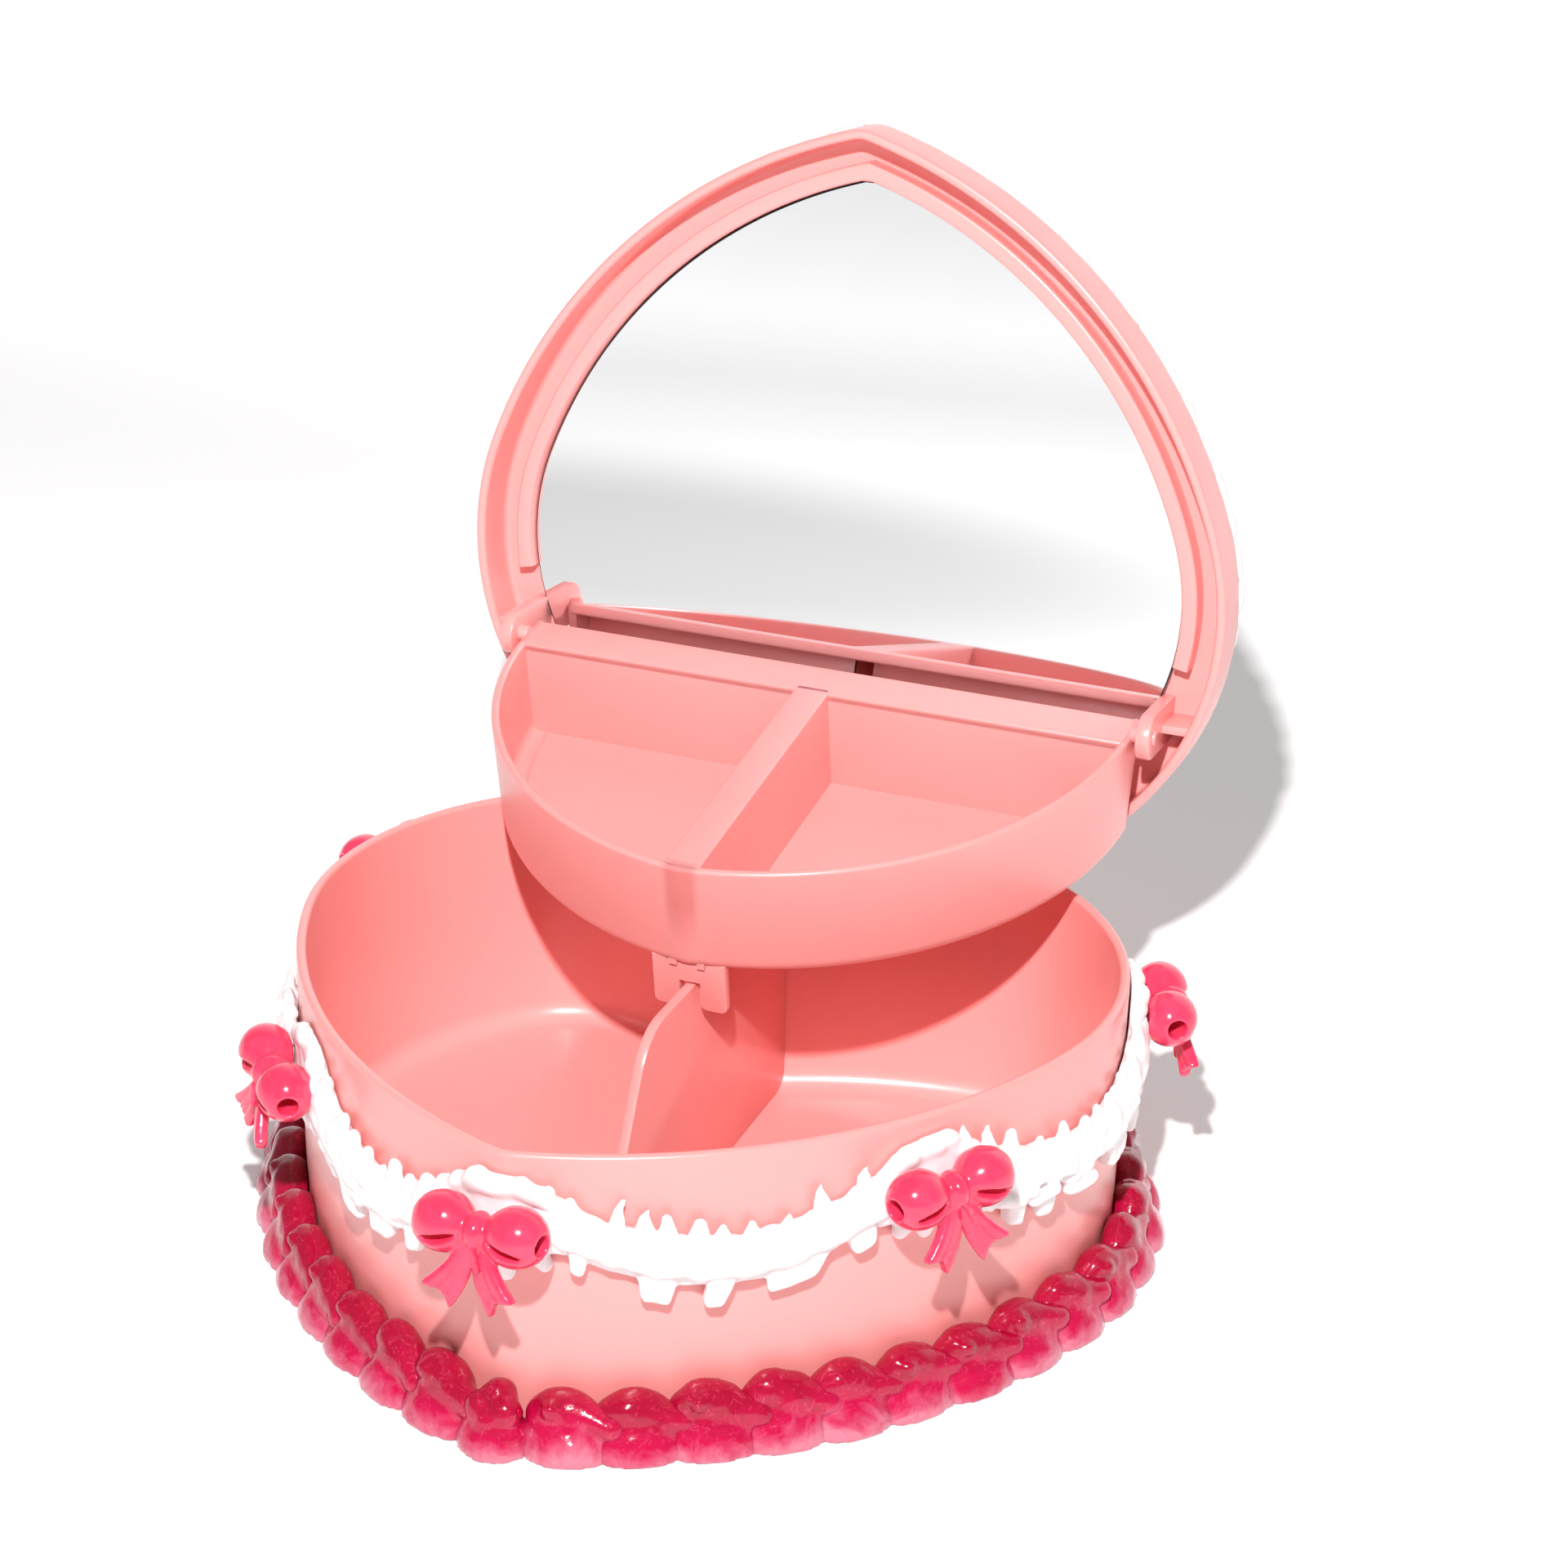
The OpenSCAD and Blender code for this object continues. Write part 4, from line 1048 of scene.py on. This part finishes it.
def edging_shell(seed):
    """One shell of the lid's edging: y is out from the lid's side, z up from its top."""
    r = np.random.default_rng(seed)
    step = 0.5
    lo = (-6.0, -6.6, -4.2)
    p = grid(lo, (6.0, 3.6, 4.4), step)
    f = egg(p, (-0.6, -2.4, 0.2), (3.9, 3.4, 3.0))
    f = blend(f, egg(p, (1.6, -2.4, 0.0), (3.6, 2.8, 2.4)), 0.6)
    f = blend(f, egg(p, (-0.2, 0.2, -1.0), (3.8, 1.3, 1.8)), 0.6)
    for k in range(4):
        a = math.radians(20 + 40 * k + r.uniform(-6, 6))
        y, z = -2.4 + 3.5 * math.cos(a), 0.0 + 3.2 * math.sin(a)
        f = carve(f, finger(p, (-3.4, y, z), (3.0, y * 0.8 - 0.3, z * 0.75), 0.25, 0.45), 0.6)
    f = f + 0.14 * ripple(p, seed, 2.8)
    corner = np.hypot(np.clip(p[..., 1] + 3, 0, None), np.clip(p[..., 2] + 3, 0, None)) - 3.25
    f = np.maximum(f, -corner)
    return skin(f, lo, step)


def shell_tree(name, shells, material):
    """A node tree that sets shells along a closed path, each turned and sized a little differently."""
    tree = bpy.data.node_groups.new(name, "GeometryNodeTree")
    new, link, face = tree.nodes.new, tree.links.new, tree.interface
    face.new_socket("Path", in_out="INPUT", socket_type="NodeSocketGeometry")
    for label in ("Count", "First shell", "Last shell", "Seed"):
        face.new_socket(label, in_out="INPUT", socket_type="NodeSocketInt")
    for label in ("Size spread", "Turn spread"):
        face.new_socket(label, in_out="INPUT", socket_type="NodeSocketFloat")
    face.new_socket("Shells", in_out="OUTPUT", socket_type="NodeSocketGeometry")
    given, out = new("NodeGroupInput").outputs, new("NodeGroupOutput")

    curve = new("GeometryNodeMeshToCurve")
    link(given["Path"], curve.inputs["Mesh"])
    spaced = new("GeometryNodeResampleCurve")
    link(curve.outputs["Curve"], spaced.inputs["Curve"])
    link(given["Count"], spaced.inputs["Count"])

    def spread(kind, low, high, seed_shift):
        """A random value of that kind between two sockets or numbers."""
        first, result = {"FLOAT_VECTOR": (0, 0), "FLOAT": (2, 1), "INT": (4, 2)}[kind]
        rnd = new("FunctionNodeRandomValue")
        rnd.data_type = kind
        feed(tree, rnd.inputs[first], low)
        feed(tree, rnd.inputs[first + 1], high)
        link(number(tree, "ADD", given["Seed"], seed_shift), rnd.inputs["Seed"])
        return rnd.outputs[result]

    # the path's first point takes the first variant, the others one of those from first to last
    after_first = number(tree, "GREATER_THAN", new("GeometryNodeInputIndex").outputs[0], 0.5)
    variant = spread("INT", given["First shell"], given["Last shell"], 1)
    pick = number(tree, "MULTIPLY", variant, after_first)
    small = number(tree, "SUBTRACT", 1.0, given["Size spread"])
    large = number(tree, "ADD", 1.0, given["Size spread"])
    size = spread("FLOAT_VECTOR", small, large, 2)
    align = new("FunctionNodeAlignRotationToVector")
    align.axis, align.pivot_axis = "X", "Z"
    link(new("GeometryNodeInputTangent").outputs[0], align.inputs["Vector"])
    turn = new("ShaderNodeCombineXYZ")
    back = number(tree, "MULTIPLY", given["Turn spread"], -1.0)
    link(spread("FLOAT", back, given["Turn spread"], 3), turn.inputs["Z"])
    rotate = new("FunctionNodeRotateRotation")
    rotate.rotation_space = "LOCAL"
    link(align.outputs[0], rotate.inputs[0])
    link(turn.outputs[0], rotate.inputs[1])

    pool = new("GeometryNodeCollectionInfo")
    pool.inputs["Collection"].default_value = shells
    pool.inputs["Separate Children"].default_value = True
    pool.inputs["Reset Children"].default_value = True
    place = new("GeometryNodeInstanceOnPoints")
    place.inputs["Pick Instance"].default_value = True
    link(spaced.outputs[0], place.inputs["Points"])
    link(pool.outputs[0], place.inputs["Instance"])
    link(pick, place.inputs["Instance Index"])
    link(rotate.outputs[0], place.inputs["Rotation"])
    link(size, place.inputs["Scale"])
    tone = new("GeometryNodeStoreNamedAttribute")
    tone.domain, tone.data_type = "INSTANCE", "FLOAT"
    tone.inputs["Name"].default_value = "tone"
    link(place.outputs[0], tone.inputs["Geometry"])
    link(spread("FLOAT", 0.0, 1.0, 4), tone.inputs["Value"])
    real = new("GeometryNodeRealizeInstances")
    link(tone.outputs[0], real.inputs["Geometry"])
    paint = new("GeometryNodeSetMaterial")
    paint.inputs["Material"].default_value = material
    link(real.outputs[0], paint.inputs["Geometry"])
    link(paint.outputs[0], out.inputs[0])
    return tree


def pipe_shells(name, path, variants, settings, material, body, matrix=None):
    """Pipes shells along a path of points in millimetres and returns the finished piece."""
    pool = bpy.data.collections.new(name + "_shells")
    shells = []
    for k, (verts, faces) in enumerate(variants):
        shell = make_object("%s_%d" % (pool.name, k), verts * [1, -1, 1], faces, [material], None, 80)
        bpy.context.scene.collection.objects.unlink(shell)
        pool.objects.link(shell)
        shells.append(shell)
    line = bpy.data.meshes.new(name)
    loop = [(i, (i + 1) % len(path)) for i in range(len(path))]
    line.from_pydata([tuple(v) for v in path * MM], loop, [])
    obj = bpy.data.objects.new(name, line)
    bpy.context.scene.collection.objects.link(obj)
    mod = obj.modifiers.new("shells", "NODES")
    mod.node_group = shell_tree(name, pool, material)
    sockets = mod.node_group.interface.items_tree
    ids = {item.name: item.identifier for item in sockets if item.in_out == "INPUT"}
    for label, value in settings.items():
        mod[ids[label]] = value
    mesh = bpy.data.meshes.new_from_object(obj.evaluated_get(bpy.context.evaluated_depsgraph_get()))
    obj.modifiers.remove(mod)
    for shell in shells:
        bpy.data.objects.remove(shell)
    bpy.data.collections.remove(pool)
    if matrix is not None:
        matrix = matrix.copy()
        matrix.translation *= MM
        mesh.transform(matrix)
    obj.data = mesh
    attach(obj, body)
    return obj


def build_border():
    p, n = along_wall(np.linspace(0, 2 * HALF, 1200, endpoint=False))
    path = np.column_stack([p + n * (WALL + 4.0), np.zeros(len(p))])
    variants = [border_shell(61, True)] + [border_shell(200 + 11 * k) for k in range(4)]
    settings = {"Count": 41, "First shell": 1, "Last shell": 4}
    settings |= {"Size spread": 0.05, "Turn spread": 0.09, "Seed": 5}
    obj = pipe_shells("border_castings", path, variants, settings, mat_border, "bowl")
    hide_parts("base_border")


def build_edging():
    p, n = along_wall(np.linspace(0, 2 * HALF, 1200, endpoint=False))
    # the edging draws in towards the hinge
    reach = np.clip((HINGE_Y - p[:, 1] - 40) / 14, 0.15, 1)
    out = WALL - 0.9 - 1.5 * (1 - reach[:, None])
    path = np.column_stack([p + n * out, np.full(len(p), LID_Z + LID_DEPTH)])
    variants = [edging_shell(300 + 7 * k) for k in range(3)]
    settings = {"Count": 62, "First shell": 0, "Last shell": 2}
    settings |= {"Size spread": 0.08, "Turn spread": 0.12, "Seed": 9}
    obj = pipe_shells("edging_piping", path, variants, settings, mat_cream, "lid", lid_matrix())
    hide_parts("lid_edging")


def finish_cad_nodes():
    """The small pieces that keep their CAD shape get their own finish."""
    finishes = {"mirror_tape": mat_tape, "hinge_pin_left": mat_steel, "hinge_pin_right": mat_steel}
    for name, mat in finishes.items():
        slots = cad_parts[name].data.materials
        slots.clear()
        slots.append(mat)


# ---- camera, floor and light ---------------------------------------------------------------------
def build_camera():
    """A long lens in front on the right, looking down at the open box."""
    azimuth, elevation, roll = (math.radians(v) for v in (21.17, 23.93, 1.24))
    level = math.cos(elevation)
    ahead = Vector((-math.sin(azimuth) * level, math.cos(azimuth) * level, -math.sin(elevation)))
    right = Vector((math.cos(azimuth), math.sin(azimuth), 0))
    up = right.cross(ahead)
    x = math.cos(roll) * right + math.sin(roll) * up
    y = -math.sin(roll) * right + math.cos(roll) * up
    focal_px, image_px, sensor = 3671.5, 1920, 36
    cam = bpy.data.cameras.new("camera")
    cam.lens, cam.sensor_width = focal_px * sensor / image_px, sensor
    cam.clip_start, cam.clip_end = 0.02, 20
    obj = bpy.data.objects.new("camera", cam)
    bpy.context.scene.collection.objects.link(obj)
    m = Matrix((x, y, -ahead)).transposed().to_4x4()
    m.translation = Vector((181.85, -435.6, 288.83)) * MM
    obj.matrix_world = m
    bpy.context.scene.camera = obj


def build_floor():
    """Pale paper, with a painted shadow in front on the left and a painted glow that makes it brighter far
    out.
    """
    m = new_material("paper_floor", (0.93, 0.93, 0.93), 0.85, Emission_Color=(1, 1, 1, 1))
    t, b = shader_of(m)
    place = t.nodes.new("ShaderNodeTexCoord").outputs["Object"]

    def ring(centre, near, far, start, end, squeeze=1.0):
        """A value that goes from start to end between two distances from a centre."""
        fit = t.nodes.new("ShaderNodeMapping")
        fit.inputs["Scale"].default_value = (squeeze, 1, 1)
        t.links.new(place, fit.inputs["Vector"])
        gap = t.nodes.new("ShaderNodeVectorMath")
        gap.operation = "DISTANCE"
        gap.inputs[1].default_value = centre
        t.links.new(fit.outputs[0], gap.inputs[0])
        return map_range(t, gap.outputs["Value"], near, far, start, end, "SMOOTHSTEP")

    # painted shadow: a grey patch on the paper in front on the left, which only the mirror shows
    painted_shadow = ring((-0.19, -0.43, 0), 0.08, 0.27, 0.50, 0.84, 0.75)
    t.links.new(painted_shadow, b.inputs["Base Color"])
    # painted glow: the paper gives off light far behind, by depth alone, and far out all round
    painted_glow_back = ring((0, 3, 0), 2.3, 2.68, 0.6, 0.12, 0.0)
    painted_glow_out = ring((0, 0, 0), 0.75, 1.5, 0.0, 0.4)
    t.links.new(number(t, "MAXIMUM", painted_glow_back, painted_glow_out), b.inputs["Emission Strength"])
    mesh = bpy.data.meshes.new("floor")
    s = 8.0
    mesh.from_pydata([(-s, -s, 0), (s, -s, 0), (s, s, 0), (-s, s, 0)], [], [(0, 1, 2, 3)])
    mesh.materials.append(m)
    obj = bpy.data.objects.new("floor", mesh)
    bpy.context.scene.collection.objects.link(obj)


def build_key():
    """A small lamp in front on the right, whose light falls off little with distance."""
    light = bpy.data.lights.new("key", "POINT")
    light.shadow_soft_size, light.energy, light.color = 0.007, 56.0, (1, 0.985, 0.985)
    light.use_nodes = True
    t = light.node_tree
    glow = next(n for n in t.nodes if n.type == "EMISSION")
    fall = t.nodes.new("ShaderNodeLightFalloff")
    fall.inputs["Strength"].default_value = 1.0
    t.links.new(fall.outputs["Constant"], glow.inputs["Strength"])
    obj = bpy.data.objects.new("key", light)
    obj.location = (0.122, -0.350, 0.385)
    bpy.context.scene.collection.objects.link(obj)


def build_world():
    """Even studio light, brighter behind, with a bright band low on the horizon."""
    world = bpy.data.worlds.new("studio")
    world.use_nodes = True
    t = world.node_tree
    back = t.nodes["Background"]
    back.inputs["Color"].default_value = (1, 0.985, 0.985, 1)
    xyz = t.nodes.new("ShaderNodeSeparateXYZ")
    t.links.new(t.nodes.new("ShaderNodeTexCoord").outputs["Generated"], xyz.inputs[0])
    sweep = map_range(t, xyz.outputs["Y"], 0.3, 0.9, 0.25, 1.35, "SMOOTHSTEP")
    low = map_range(t, xyz.outputs["Z"], 0.05, 0.16, 0.85, 0.0, "LINEAR")
    t.links.new(number(t, "MAXIMUM", sweep, low), back.inputs["Strength"])
    bpy.context.scene.world = world


build_bowl()
build_lid()
build_mirror()
build_tray()
build_bows()
build_swags()
build_dabs()
build_border()
build_edging()
finish_cad_nodes()
build_camera()
build_floor()
build_key()
build_world()
bpy.context.scene.view_settings.view_transform = "Standard"
